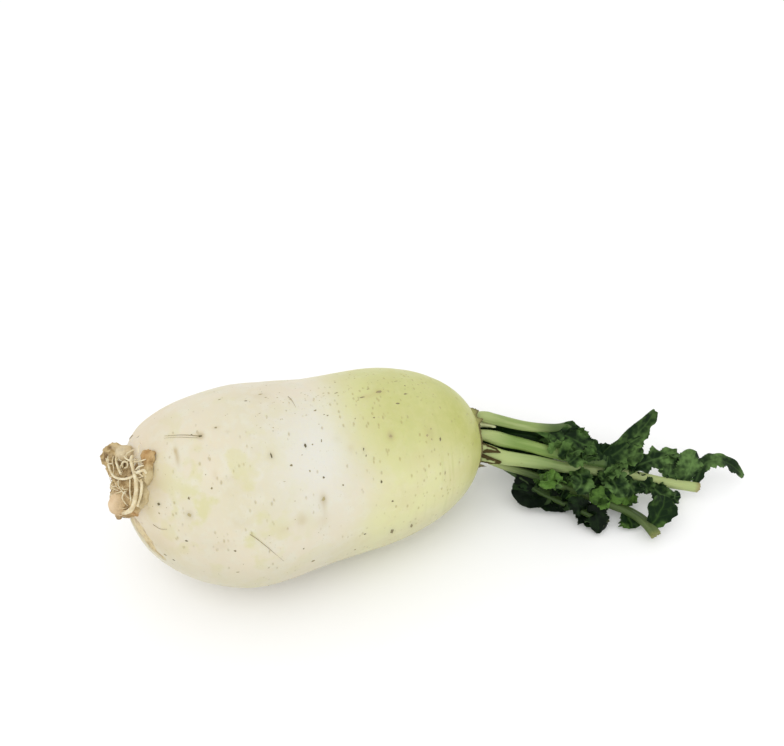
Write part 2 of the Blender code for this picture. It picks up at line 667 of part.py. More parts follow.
def make_lobe(lobe, base, seed):
    """Thicken a lobe's middle layer, with both faces split into triangles alike."""
    rows = np.array(lobe_rows(lobe, base, seed))
    d_along = np.gradient(rows, axis=0)
    d_across = np.gradient(rows, axis=1)
    normals = np.cross(d_along, d_across)
    normals /= np.linalg.norm(normals, axis=2, keepdims=True)
    count_i, count_j = rows.shape[:2]
    half = normals * BLADE_THICKNESS / 2
    verts = list((rows + half).reshape(-1, 3)) + list((rows - half).reshape(-1, 3))
    layer = count_i * count_j
    faces = []
    for i in range(count_i - 1):
        for j in range(count_j - 1):
            a, b = i * count_j + j, i * count_j + j + 1
            c, d = b + count_j, a + count_j
            faces += [(a, b, c), (a, c, d)]
            faces += [(layer + a, layer + c, layer + b), (layer + a, layer + d, layer + c)]
    border = [j for j in range(count_j)]
    border += [i * count_j + count_j - 1 for i in range(1, count_i)]
    border += [(count_i - 1) * count_j + j for j in range(count_j - 2, -1, -1)]
    border += [i * count_j for i in range(count_i - 2, 0, -1)]
    for a, b in zip(border, border[1:] + border[:1]):
        faces += [(a, a + layer, b + layer), (a, b + layer, b)]
    return add_object("lobe", verts, faces)


def make_leaf(name, leaf, root_clearance):
    path = smooth_path(leaf.route, 101) * MM
    pieces = [make_stalk(leaf)]
    for k, lobe in enumerate(leaf.lobes):
        base = path[round(lobe.at * 100)]
        pieces.append(make_lobe(lobe, base, name + str(k)))
    mat = material(name + "_green", leaf.colour, 0.55)
    # The ruffled lobes cross the stalk at slant angles, which only this solver joins cleanly.
    return fuse(name, pieces, root_clearance, mat, solver="MANIFOLD")


def main():
    clear_scene()
    make_root()
    root_clearance = as_cutter(root_mesh("root_clearance", GAP))
    make_tail(root_clearance)
    make_crown_ring(root_clearance)
    make_torn_stub(root_clearance)
    make_heart_leaf(root_clearance)
    for name, leaf in LEAVES.items():
        make_leaf(name, leaf, root_clearance)


main()
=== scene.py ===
"""The looks of a stout white radish lying on its side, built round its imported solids.

The root gets fine skin, the tail its cork and curled rootlets, the crown its fringe, and each
leaf a ribbed stalk and thin ruffled blades with veins. All lengths are metres unless a name or
comment says millimetres.
"""

import math
import random
from typing import NamedTuple

import bmesh
import bpy
import numpy as np
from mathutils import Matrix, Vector, noise


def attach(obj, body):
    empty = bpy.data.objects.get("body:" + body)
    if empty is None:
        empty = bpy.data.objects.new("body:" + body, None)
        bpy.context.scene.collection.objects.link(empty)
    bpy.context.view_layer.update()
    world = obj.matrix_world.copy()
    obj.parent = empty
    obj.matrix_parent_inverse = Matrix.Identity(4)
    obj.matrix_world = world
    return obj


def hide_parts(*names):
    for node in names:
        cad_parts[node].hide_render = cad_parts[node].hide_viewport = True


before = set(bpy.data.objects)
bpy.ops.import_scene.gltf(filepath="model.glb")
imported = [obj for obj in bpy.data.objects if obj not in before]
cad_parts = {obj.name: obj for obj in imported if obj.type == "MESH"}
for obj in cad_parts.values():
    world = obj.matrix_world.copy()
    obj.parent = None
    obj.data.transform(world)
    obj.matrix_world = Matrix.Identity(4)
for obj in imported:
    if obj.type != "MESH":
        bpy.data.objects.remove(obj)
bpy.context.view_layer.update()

MM = 0.001

# The root. Its radius is fullness * sqrt(u * (1 - u)), with u from the tail to the crown.
ROOT_LENGTH = 0.190
ROOT_TILT = math.radians(4.9)          # the crown end hangs lower than the tail end
ROOT_TAIL = (-0.0951, 0.0070, 0.0562)  # where the axis leaves the tail end
ROOT_BEND = 0.0072                     # sideways bow of the axis, to -Y
ROOT_SWAY = 0.0032                     # the bow lies nearer the tail by this much
ROOT_FULLNESS = ((0.0, 0.150), (0.1, 0.129), (0.2, 0.119), (0.3, 0.1125), (0.4, 0.104),
                 (0.5, 0.0975), (0.6, 0.098), (0.7, 0.1025), (0.8, 0.107), (0.9, 0.1125),
                 (1.0, 0.121))

# The corky tail sits on the upper front of the root's end. Its places are in millimetres out
# of the skin, up along it, and round it towards the crown.
TAIL_MIDDLE = (-0.0868, -0.0051, 0.0787)
TAIL_OUT = (-0.83, -0.22, 0.51)
TAIL_RISE = (0.25, 0.67, 0.69)
CRUST = (-3.0, -6.0, -3.0), (7.5, 14.4, 17.0), 2.2    # middle, half sizes, roughness
CRUST_SQUARENESS = 3.2                 # 2 would give it a round outline
CRUST_LEAN = 0.35                      # its lower part leans away from the crown
STUB = (3.0, -13.8, -4.8), (4.8, 6.0, 6.8), 0.7
KNOBS = (((0.4, 9.2, -9.5), (4.2, 4.4, 8.0), 1.2), ((3.0, 10.6, -16.0), (3.8, 3.8, 4.6), 1.6),
         ((3.2, 6.6, -18.6), (4.0, 5.2, 4.4), 1.4), ((-2.4, 9.4, 11.0), (2.5, 4.0, 5.0), 1.6),
         ((-1.2, 2.0, 13.0), (3.0, 6.0, 3.4), 1.6), ((-0.5, 1.5, -19.0), (4.5, 5.0, 4.5), 1.4),
         ((1.6, -19.6, -7.2), (1.8, 2.4, 2.0), 0.5))
CAVITY_AT = (5.0, 3.0, 0.3)            # middle of the hollow that the rootlets cross
CAVITY_SIZE = (9.0, 7.0, 13.0)
CAVITY_DEPTH = 2.6
# Each curled rootlet has a route and its radii at the start and the end.
ROOTLETS = (
    (((3.4, 9.5, -17), (4.8, 7.3, -16.3), (5.4, 2.7, -13.6), (5.8, -1.1, -7.2),
      (5.6, -1.8, 1.1), (4.8, -0.5, 8.2), (3.8, 0.9, 10.5)), 0.6, 0.6),
    (((2.0, 9, 3), (3.4, 7.3, 5.2), (3.8, 2, 9.5), (3.8, -1, 12), (3.4, -6.5, 12.4),
      (3.2, -13, 10.4), (3, -16.3, 6), (2.6, -17.6, -0.5)), 0.8, 1.2),
    (((3.0, 1.3, 10.2), (3.2, 2.5, 13.1), (1.8, 3.4, 15.4), (0.6, 1.8, 15.6),
      (0.4, -0.5, 14.4)), 0.7, 0.6),
    (((2.6, 8.5, -10), (4.2, 6.8, -9.3), (4.2, 3.2, -6.7), (5, 0.4, -1.2)), 0.6, 0.6),
    (((2.2, -1, 13.6), (1.8, -3, 14.2), (1.6, -8, 13.6), (1.8, -13.5, 11.4)), 0.7, 0.6),
)

# The ring that the crown's dry fringe stands on.
CROWN_RING_RADIUS = 0.0172
CROWN_RING_BULGE = 0.0018   # it bulges round the long leaf's base
CROWN_RING_BULGE_AT = math.radians(195)

NEAR = (-0.2, -0.75, 0.6)   # looks to the front and up
UP = (0.0, -0.3, 0.95)


class Lobe(NamedTuple):
    """One torn lobe of a leaf blade: its middle line starts in the stalk at a fraction of the
    stalk's length and runs through mid to tip. Lengths are in millimetres."""
    at: float
    mid: tuple
    tip: tuple
    width: float
    face: tuple = NEAR      # the way that its upper side looks
    cup: float = 1.5        # how far its edges rise
    wave: float = 1.2       # how far its edges ruffle
    waves: float = 1.6      # ruffles along each edge
    teeth: float = 0.11     # depth of the teeth, as a share of its half width
    widest: float = 0.58    # how far along it is widest
    pointed: float = 0.5    # a high power draws the tip out to a point
    notches: int = 8        # coarse teeth along it
    tone: float = 0.3       # dark to light green: own tone, with painted shade on shaded lobes and painted light on lit ones
    crinkle: float = 1.0    # how strongly its skin is crinkled
    fold: float = 0.0       # how steeply both halves rise from the middle rib
    twist: float = 0.0      # degrees that it turns about its middle line
    even: tuple = (0, 0)    # how smooth each edge is, from toothed 0 to even 1


class Leaf(NamedTuple):
    """A leaf: its stalk's form, its colours and the lobes of its blade."""
    route: tuple            # of the stalk, from inside the root outwards
    base: float             # half width of the stalk at its base
    end: float              # and at its cut end
    inner: tuple            # the way to the middle of the crown
    pale: tuple             # the stalk's ribs
    green: tuple            # the stalk between them
    dark: tuple             # the blades at their darkest; this near black green is painted shade
    light: tuple
    lobes: tuple
    foot: float = 1.0       # how wide its foot is, as a share of the stalk above it
    shade: float = 0.0      # painted shade: how dark green the stalk is painted below the blades
    shade_from: float = 0.6
    cut: tuple = (0.36, 0.31, 0.13)     # the cut end
    pale_end: float = 0.0   # how pale the stalk gets towards its end
    pale_from: float = 0.6


LEAVES = {
    "leaf_top": Leaf(
        route=((88, 11.5, 52), (96.5, 10.7, 51), (105.5, 8, 48), (121, 3, 43.5), (138, -0.5, 40),
               (149.5, -0.5, 39.5)),
        base=4.6, foot=0.5, end=3.2, inner=(0, -0.3, -1), pale=(0.33, 0.4, 0.16),
        green=(0.225, 0.305, 0.09), dark=(0.004, 0.014, 0.003), light=(0.075, 0.15, 0.034),
        # Its cut end is painted dark green: painted shade among the blades.
        shade=0.9, shade_from=0.57, cut=(0.05, 0.09, 0.025),
        lobes=(
            Lobe(0.8, (147.5, -12, 38.5), (156, -18.5, 37), 12, UP, cup=0.8),
            Lobe(0.97, (151.5, -7, 37.5), (154, -11, 35.5), 8),
            Lobe(0.6, (135.5, -6, 40.5), (131.5, -8, 41), 9, UP, cup=0.5, wave=0.6),
            Lobe(0.88, (149, 6.5, 28), (153, 9.5, 22), 12, (0, 0.6, 0.8)),
            # Small ones that the solid leaves out.
            Lobe(0.8, (139, -5, 39.5), (142, -8.5, 35.5), 13, cup=-1, tone=0.1, crinkle=0.5),
            Lobe(0.94, (146, -4.5, 40), (147, -8, 35), 10.5, cup=-1.5, wave=0.4, teeth=0.05,
                 tone=0, widest=0.35, crinkle=0.3),
            Lobe(0.97, (151.5, -6, 35.5), (156.5, -12.5, 33), 9, teeth=0.2, pointed=1),
            Lobe(0.97, (151, -4, 36), (154, -9, 34.5), 6, teeth=0.2, pointed=1),
            Lobe(0.7, (132.5, -1, 38), (134.5, -7, 36.5), 9, cup=1, tone=0.05),
        )),
    "leaf_upper": Leaf(
        route=((88, 3, 46.5), (96.5, 1.2, 45.5), (107.5, -2, 41.3), (118.5, -4.4, 37),
               (130, -10, 34.3), (139.5, -14.7, 32.7), (148.5, -18.5, 31.5), (160.5, -23, 29.5)),
        base=4.6, foot=0.65, end=3.2, inner=(0, 0.6, -0.8), pale=(0.25, 0.35, 0.1),
        green=(0.17, 0.265, 0.06), dark=(0.004, 0.016, 0.003), light=(0.1, 0.185, 0.046),
        # Its cut end is painted dark green: painted shade among the blades.
        shade=0.9, shade_from=0.5, cut=(0.03, 0.07, 0.015),
        lobes=(
            Lobe(0.97, (173, -22.5, 42), (192.5, -11.5, 50), 13, (-0.1, -0.8, 0.6), wave=0.9,
                 waves=1.8, teeth=0.12, widest=0.3, notches=12, crinkle=0.35, even=(0.85, 0)),
            Lobe(0.8, (144, -19.5, 35.5), (138, -21.5, 34), 11, UP, cup=0.5, wave=0.8, tone=0.5,
                 crinkle=0.6),
            Lobe(0.5, (126, 0, 32), (133, 3.5, 30), 10, (0, 0.3, 0.9), cup=0.5),
            Lobe(0.94, (169, -23.5, 34), (180, -27.5, 35.5), 14, notches=9),
            Lobe(0.88, (158, -15, 27), (163, -11, 22), 10, (0, 0.3, 0.9)),
            # Small ones that the solid leaves out.
            Lobe(0.7, (135.5, -11, 37), (129.5, -13, 37), 9, wave=2.2, tone=0.7, twist=40),
            Lobe(0.78, (140.5, -15, 35.5), (137.5, -19, 35), 10, wave=2.2, tone=0.4, fold=0.4,
                 twist=-40),
            Lobe(0.9, (151.5, -18, 34), (147.5, -22, 33), 10, wave=2.2, tone=0.3, fold=0.5),
            Lobe(0.84, (148.5, -6, 29), (155.5, -12, 28), 13, UP, wave=1.8, tone=0),
            Lobe(0.82, (155, -20, 35.5), (153.5, -23.5, 31), 11, cup=-1, wave=0.8, tone=0.1,
                 crinkle=0.5),
            Lobe(0.94, (161, -21.5, 35.5), (160, -25, 30.5), 11, cup=-1, wave=0.8, tone=0,
                 crinkle=0.5),
            Lobe(0.97, (169.5, -23, 40), (179, -22.5, 44), 7, teeth=0.2, tone=0.25, fold=-0.4,
                 twist=30, crinkle=0.6),
            Lobe(0.97, (169, -22, 35), (180.5, -24, 36), 11, teeth=0.15, tone=0.15, fold=0.4,
                 twist=-30, crinkle=0.7),
            Lobe(0.94, (161.5, -22, 30), (168.5, -26, 28), 11, wave=2, tone=0.15, fold=-0.3),
        )),
    "leaf_long": Leaf(
        route=((88, -1.5, 40), (95.5, -3.8, 38), (105, -7.2, 34.2), (122, -11.3, 29.6),
               (139, -15.2, 24.2), (155, -19, 21), (177, -25.5, 16.5), (193, -32, 13),
               (213.5, -40, 10)),
        base=5.4, end=3.3, inner=(0, 1, 0.2), pale=(0.325, 0.4, 0.165),
        green=(0.225, 0.315, 0.105), dark=(0.005, 0.018, 0.004), light=(0.11, 0.2, 0.055),
        pale_end=0.9, pale_from=0.62,
        lobes=(
            Lobe(0.57, (161.5, -26.5, 25), (168, -28, 23.5), 10, UP, cup=0.8),
            Lobe(0.64, (190, -25, 24), (205.5, -24, 25), 11, (-0.1, -0.5, 0.85), teeth=0.2,
                 notches=9),
            Lobe(0.93, (208.5, -34.5, 21), (214, -28, 28), 16.5, (-0.1, -0.9, 0.4), cup=-2,
                 wave=1.3, widest=0.7, notches=9, tone=0.55, crinkle=0.7),
            Lobe(0.975, (224.5, -32.5, 22), (243, -40, 10), 9, UP, cup=0.5, wave=0.8, teeth=0.2,
                 notches=11, crinkle=0.3, even=(0.7, 0)),
            Lobe(0.56, (162, -34, 23), (159.5, -39, 20.5), 14, UP, wave=1.4),
            Lobe(0.44, (145, -27, 24), (139.5, -31.5, 21.5), 13, UP, cup=1),
            Lobe(0.78, (191, -39.5, 10), (203, -40.5, 6), 9, (-0.2, -0.6, 0.75), tone=0),
            Lobe(0.86, (199, -30.5, 19), (200.5, -25, 26), 13),
            Lobe(0.66, (174, -35, 15), (175.5, -35, 11), 11),
            # Small ones that the solid leaves out.
            Lobe(0.7, (182, -31.5, 14.5), (186.5, -36, 11), 10, tone=0, wave=1, crinkle=0.5),
            Lobe(0.8, (190, -36.5, 11.5), (197.5, -41.5, 9.5), 8, tone=0, crinkle=0.5),
            Lobe(0.6, (158, -22, 16), (153, -27, 13.5), 13, wave=1.4, tone=0.2, fold=0.3),
            Lobe(0.62, (165, -26, 26), (169.5, -26.5, 25.5), 8, wave=1.2, tone=1, fold=0.4),
            Lobe(0.7, (174.5, -22, 24), (181.5, -24, 24), 11, wave=1.8, tone=0.1, fold=0.4,
                 twist=30),
            Lobe(0.5, (145.5, -19, 17.5), (139.5, -23, 15), 13, wave=1.4, tone=0.2, fold=-0.3),
            Lobe(0.62, (164.5, -27, 16), (167.5, -32, 14), 12, wave=2, tone=0.15, fold=0.5),
            Lobe(0.9, (199, -28, 20), (197, -24, 25), 11, cup=2.5, tone=0.1, crinkle=0.5),
            Lobe(0.36, (135, -12.5, 16), (145.5, -18, 15), 9, tone=0),
        )),
    "leaf_low": Leaf(
        route=((88, 3.5, 31.5), (95.5, 0, 29.7), (105.5, -5.6, 26), (122.5, -12.8, 20.4),
               (144.5, -25, 12.5), (161.5, -37, 9), (169.5, -44, 8), (174.5, -52, 7),
               (176.5, -61, 6)),
        base=2.3, end=3.3, inner=(0, 0.6, 0.8), pale=(0.085, 0.125, 0.03),
        green=(0.042, 0.07, 0.015), dark=(0.004, 0.016, 0.003), light=(0.1, 0.2, 0.036),
        shade=0.5, shade_from=0.2, cut=(0.24, 0.27, 0.08), pale_end=0.25, pale_from=0.86,
        lobes=(
            Lobe(0.72, (160, -35.5, 14), (149, -32, 13.5), 14, wave=1.2, notches=9, tone=0.85,
                 crinkle=0.5),
            Lobe(0.8, (168, -47, 4.5), (168, -51, 2.2), 13, UP, cup=0.3, wave=0.4, tone=0,
                 crinkle=0.5),
            Lobe(0.95, (182.5, -52, 14.5), (187, -46, 18), 16.5, cup=2, notches=9, teeth=0.08,
                 tone=0.05, crinkle=0.2, even=(0.8, 0.5)),
            Lobe(0.42, (129.5, -22.5, 23), (124, -21.5, 24.5), 11, cup=-2, tone=0.8,
                 crinkle=1.6),
            Lobe(0.55, (150, -21, 12), (158, -16, 12), 16, UP),
            Lobe(0.8, (171, -35, 9), (176, -31.5, 9), 12, UP),
            # Small ones that the solid leaves out.
            Lobe(0.36, (125, -15, 20), (131.5, -19, 17), 11, wave=2, tone=0.05, fold=0.4),
            Lobe(0.38, (126.5, -21.5, 24), (121.5, -23.5, 22.5), 7, wave=2, teeth=0.2, tone=0.6,
                 fold=0.4, twist=30),
            Lobe(0.46, (132.5, -24, 22.5), (130.5, -26.5, 25), 7, wave=2, teeth=0.2, tone=0.5,
                 fold=-0.4, twist=-30),
            Lobe(0.46, (136, -19, 17), (142.5, -23, 16), 12, wave=2, tone=0.15, fold=-0.3),
            Lobe(0.62, (145.5, -24, 14), (137.5, -27, 10), 14, wave=2, tone=0.4, fold=0.3),
            Lobe(0.66, (155.5, -32, 14), (159.5, -37, 13), 11, wave=1.5, tone=0.25, fold=0.3,
                 crinkle=0.6),
            Lobe(0.8, (172, -35, 10), (175.5, -38.5, 7.5), 6, teeth=0.4, tone=0.8),
        )),
    "leaf_bottom": Leaf(
        route=((88, 10, 30), (95.5, 7, 27.5), (107.5, 1, 20), (117.5, -6.6, 14),
               (128.5, -18, 8.2), (142.5, -30, 5.5), (149.5, -38, 5), (154, -46, 5)),
        # Its stalk and blades are painted near black green: painted shade, for it lies under the
        # other leaves.
        base=2.8, end=3, inner=(0, 0, 1), pale=(0.05, 0.085, 0.02), green=(0.03, 0.055, 0.012),
        dark=(0.0015, 0.005, 0.0015), light=(0.012, 0.03, 0.007), shade=0.6, shade_from=0.1,
        cut=(0.05, 0.06, 0.02),
        lobes=(
            Lobe(0.57, (121.5, -18.3, 8), (111.5, -11.5, 10.5), 16, (0, -0.4, 0.9), teeth=0.03,
                 wave=0.4, notches=9, tone=0, crinkle=0.25),
            Lobe(0.76, (147, -35, 3.5), (152, -46, 2), 15, UP, cup=0.6, wave=0.6, notches=9,
                 tone=0.2, crinkle=0.5),
            Lobe(0.62, (144, -21, 4), (150, -17, 3), 13, UP, wave=0.8),
            Lobe(0.84, (141.5, -36, 13), (136, -32, 14), 10, cup=0.8, wave=0.8),
            Lobe(0.68, (136, -23, 4), (129, -24, 3), 14, UP, cup=0.8, wave=0.3, teeth=0.03,
                 notches=9, tone=0, crinkle=0.25),
            # Small ones that the solid leaves out.
            Lobe(0.44, (118, -10, 14), (124, -14, 12), 11, teeth=0.02, wave=0.4, tone=0,
                 crinkle=0.25),
            Lobe(0.6, (128, -20.5, 6.5), (139, -27.5, 4), 15, (0, -0.4, 0.9), cup=1.5, wave=0.4,
                 teeth=0.03, tone=0, crinkle=0.25),
            Lobe(0.57, (117.5, -14, 11), (111.5, -11, 12), 6, cup=-2, teeth=0.05, tone=0.9,
                 crinkle=0.3),
            Lobe(0.76, (140.5, -26, 8), (144.5, -32, 7), 12, wave=2, tone=0.7, fold=0.3),
            Lobe(0.88, (149.5, -42, 9), (148, -49, 2.5), 13, cup=-0.8, tone=0.1, pointed=0.8,
                 crinkle=0.5),
            Lobe(0.7, (134.5, -23, 8), (139.5, -29, 5), 12, wave=2, tone=0.2, fold=-0.3),
        )),
    "leaf_far": Leaf(
        route=((88, 13, 37), (95.5, 16, 35.5), (108.5, 19, 27), (124, 19, 15), (138, 15, 8),
               (148, 9, 6)),
        base=3.8, end=3, inner=(0, -1, 0.3), pale=(0.24, 0.33, 0.1), green=(0.16, 0.24, 0.06),
        dark=(0.006, 0.02, 0.004), light=(0.045, 0.095, 0.022),
        lobes=(
            Lobe(0.72, (137, 24, 6), (145, 31, 3), 15, (0, 0.3, 0.95), wave=0.9),
            Lobe(0.96, (159, 4, 7), (171, 1, 5), 15, (0, 0.1, 1)),
            Lobe(0.52, (126, 11, 19), (134, 7, 19), 14),
            Lobe(0.85, (150, 14, 6), (161, 16, 4), 13, UP, wave=0.8),
            Lobe(0.3, (110, 12, 25), (120, 8, 24), 11),
            # Small ones that the solid leaves out.
            # These three fill the dark gap between the upper stalks; their dark green is painted
            # shade.
            Lobe(0.06, (114, 5, 38), (139, -3, 33), 9, cup=1, tone=0.1, crinkle=0.5),
            Lobe(0.06, (112, 1, 32), (137, -9, 27), 9, cup=1, tone=0, crinkle=0.5),
            Lobe(0.06, (112, -2, 25), (134, -14, 17), 9, cup=1, tone=0, crinkle=0.5),
        )),
}


def unit(vector):
    vector = np.asarray(vector, float)
    return vector / np.linalg.norm(vector)


def knots_at(knots, u):
    """A smooth curve through (place, value) knots, read at u."""
    xs = np.array([k[0] for k in knots])
    ys = np.array([k[1] for k in knots])
    slopes = np.gradient(ys, xs)
    i = int(np.clip(np.searchsorted(xs, u) - 1, 0, len(xs) - 2))
    h = xs[i + 1] - xs[i]
    t = (u - xs[i]) / h
    return ((2 * t**3 - 3 * t**2 + 1) * ys[i] + (t**3 - 2 * t**2 + t) * h * slopes[i]
            + (3 * t**2 - 2 * t**3) * ys[i + 1] + (t**3 - t**2) * h * slopes[i + 1])


def smooth_path(points, count):
    """Evenly spaced places along a smooth curve through the points."""
    points = np.asarray(points, float)
    ends = np.vstack([2 * points[0] - points[1], points, 2 * points[-1] - points[-2]])
    dense = []
    for i in range(len(points) - 1):
        p0, p1, p2, p3 = ends[i:i + 4]
        for t in np.linspace(0, 1, 12, endpoint=False):
            dense.append(0.5 * (2 * p1 + (p2 - p0) * t + (2 * p0 - 5 * p1 + 4 * p2 - p3) * t**2
                                + (3 * p1 - p0 - 3 * p2 + p3) * t**3))
    dense.append(points[-1])
    dense = np.array(dense)
    lengths = np.concatenate([[0], np.cumsum(np.linalg.norm(np.diff(dense, axis=0), axis=1))])
    wanted = np.linspace(0, lengths[-1], count)
    return np.stack([np.interp(wanted, lengths, dense[:, k]) for k in range(3)], axis=1)


def root_axis(u):
    bow = -ROOT_BEND * 4 * u * (1 - u) - ROOT_SWAY * math.sin(2 * math.pi * u)
    along = u * ROOT_LENGTH
    return Vector(ROOT_TAIL) + Vector((along * math.cos(ROOT_TILT), bow,
                                       -along * math.sin(ROOT_TILT)))


def at_tail(out, rise, side):
    """A place by the tail, in millimetres along its own directions."""
    way_out = Vector(TAIL_OUT).normalized()
    way_up = Vector(TAIL_RISE)
    way_up = (way_up - way_out * way_up.dot(way_out)).normalized()
    return Vector(TAIL_MIDDLE) + (way_out * out + way_up * rise
                                  + way_up.cross(way_out) * side) * MM


def at_crown(along, y, z):
    """A place by the crown end, in metres along the axis and across it."""
    out = Vector((math.cos(ROOT_TILT), 0, -math.sin(ROOT_TILT)))
    rise = Vector((math.sin(ROOT_TILT), 0, math.cos(ROOT_TILT)))
    return root_axis(1.0) + out * along + Vector((0, 1, 0)) * y + rise * z


def skin_drop(radius):
    """How far the root's skin lies behind the crown's end at a radius from its axis."""
    low, high = 0.5, 1.0
    for _ in range(30):
        u = (low + high) / 2
        if knots_at(ROOT_FULLNESS, u) * math.sqrt(u * (1 - u)) > radius:
            low = u
        else:
            high = u
    return (1 - low) * ROOT_LENGTH


def stalk_half_width(leaf, share):
    """The stalk is widest a little above the crown, where some of them have a narrow foot."""
    risen = min(1.0, max(0.0, (share - 0.06) / 0.16))
    foot = leaf.foot + (1 - leaf.foot) * risen**2 * (3 - 2 * risen)
    return (leaf.end + (leaf.base - leaf.end) * (1 - share)**3) * foot * MM


def lobe_outline(share, widest, pointed):
    """Half width of a lobe along its middle line, as a share of its widest."""
    neck, blunt = 0.42, 0.12
    if share < widest:
        return neck + (1 - neck) * math.sin(math.pi / 2 * share / widest)
    return max(blunt, (1 - ((share - widest) / (1.02 - widest))**2)**pointed)


# Meshes and materials


def new_piece(name, verts, faces, materials, slot, values=None, angle=50, body="root"):
    """A mesh object with its normals outwards, and a number for each vertex under each name of
    values. Edges sharper than the angle stay sharp."""
    mesh = bpy.data.meshes.new(name)
    mesh.from_pydata([tuple(v) for v in verts], [], faces)
    mesh.validate()
    obj = bpy.data.objects.new(name, mesh)
    bpy.context.scene.collection.objects.link(obj)
    for mat in materials:
        mesh.materials.append(mat)
    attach(obj, body)
    for title, numbers in (values or {}).items():
        add_values(obj, title, numbers)
    bm = bmesh.new()
    bm.from_mesh(mesh)
    bmesh.ops.recalc_face_normals(bm, faces=bm.faces)
    bm.to_mesh(mesh)
    bm.free()
    mesh.shade_smooth()
    if angle:
        mesh.set_sharp_from_angle(angle=math.radians(angle))
    return obj


def add_values(obj, name, values):
    """A number for each vertex, which the materials read by name."""
    layer = obj.data.attributes.new(name, "FLOAT", "POINT")
    layer.data.foreach_set("value", np.asarray(values, float))


def ring_faces(rings, sides):
    """Quads between closed rings of vertices that follow each other."""
    faces = []
    for k in range(rings - 1):
        for j in range(sides):
            a, b = k * sides + j, k * sides + (j + 1) % sides
            faces.append((a, b, b + sides, a + sides))
    return faces


def closed_faces(rings, sides):
    """The quads between rings, and fans to the two end vertices that come after them."""
    faces = ring_faces(rings, sides)
    last, end = (rings - 1) * sides, rings * sides
    for j in range(sides):
        n = (j + 1) % sides
        faces += [(end, n, j), (end + 1, last + j, last + n)]
    return faces


def tube_parts(path, radii, sides):
    """Vertices and faces of a closed round tube."""
    tangents = np.gradient(path, axis=0)
    across = unit(np.cross(tangents[0], (0.3, 0.5, 0.8)))
    verts = []
    for place, tangent, radius in zip(path, tangents, radii):
        tangent = unit(tangent)
        across = unit(across - tangent * np.dot(across, tangent))
        other = np.cross(tangent, across)
        for j in range(sides):
            turn = 2 * math.pi * j / sides
            verts.append(place + radius * (math.cos(turn) * across + math.sin(turn) * other))
    return verts + [path[0], path[-1]], closed_faces(len(path), sides)


def thinning_tube(points, count, radius, loss, sides):
    """A tube through the points that loses a share of its radius, in mm, towards its end."""
    radii = [radius * MM * (1 - loss * k / (count - 1)) for k in range(count)]
    return tube_parts(smooth_path(points, count), radii, sides)


def joined(parts):
    verts, faces = [], []
    for part_verts, part_faces in parts:
        shift = len(verts)
        verts += list(part_verts)
        faces += [tuple(i + shift for i in face) for face in part_faces]
    return verts, faces


class Shader:
    """Builds one Principled material node by node."""

    def __init__(self, name, roughness=0.5, subsurface=0.0, specular=0.5):
        self.mat = bpy.data.materials.new(name)
        self.mat.use_nodes = True
        self.tree = self.mat.node_tree
        self.out = self.tree.nodes["Principled BSDF"].inputs
        self.out["Roughness"].default_value = roughness
        self.out["Specular IOR Level"].default_value = specular
        if subsurface:
            self.out["Subsurface Weight"].default_value = subsurface
            self.out["Subsurface Radius"].default_value = (1.0, 0.8, 0.4)
            self.out["Subsurface Scale"].default_value = 0.004

    def link(self, value, socket):
        """Feeds a socket from another node's output, or sets it to a number or a colour."""
        if hasattr(value, "is_output"):
            self.tree.links.new(value, socket)
        else:
            socket.default_value = (*value, 1.0) if socket.type == "RGBA" else value

    def node(self, kind, output, inputs, **settings):
        """Adds a node and returns one of its outputs."""
        node = self.tree.nodes.new("ShaderNode" + kind)
        for name, value in settings.items():
            setattr(node, name, value)
        for name, value in inputs.items():
            self.link(value, node.inputs[name])
        return node.outputs[output]

    def value(self, name):
        return self.node("Attribute", "Fac", {}, attribute_name=name)

    def skin_place(self, scale):
        """Places on the flattened skin, drawn together by the scale."""
        flat = self.node("UVMap", "UV", {}, uv_map="skin")
        return self.node("Mapping", "Vector", {"Vector": flat, "Scale": scale})

    def noise(self, scale, place=None, detail=3.0, rough=0.5):
        place = place or self.node("TexCoord", "Object", {})
        return self.node("TexNoise", "Fac", {"Scale": scale, "Detail": detail,
                                             "Roughness": rough, "Vector": place})

    def cells(self, scale, place):
        return self.node("TexVoronoi", "Distance", {"Scale": scale, "Vector": place})

    def band(self, value, low, high, to_low=0.0, to_high=1.0):
        """Eases from one number to another while the value goes from low to high."""
        return self.node("MapRange", "Result", {
            "Value": value, "From Min": low, "From Max": high, "To Min": to_low,
            "To Max": to_high}, interpolation_type="SMOOTHSTEP")

    def math(self, kind, a, b):
        return self.node("Math", "Value", {0: a, 1: b}, operation=kind)

    def times(self, a, b):
        return self.math("MULTIPLY", a, b)

    def plus(self, a, b):
        return self.math("ADD", a, b)

    def mix(self, share, a, b):
        return self.node("Mix", "Result", {"Factor": share, "A": a, "B": b}, data_type="RGBA")

    def tinted(self, base, **tints):
        """Lays each tint over a colour where the value of its name is high."""
        for name, tint in tints.items():
            base = self.mix(self.value(name), base, tint)
        return base

    def colour(self, value):
        self.link(value, self.out["Base Color"])

    def rough(self, value):
        self.link(value, self.out["Roughness"])

    def bump(self, height, strength, distance):
        self.link(self.node("Bump", "Normal", {"Strength": strength, "Distance": distance,
                                               "Height": height}), self.out["Normal"])


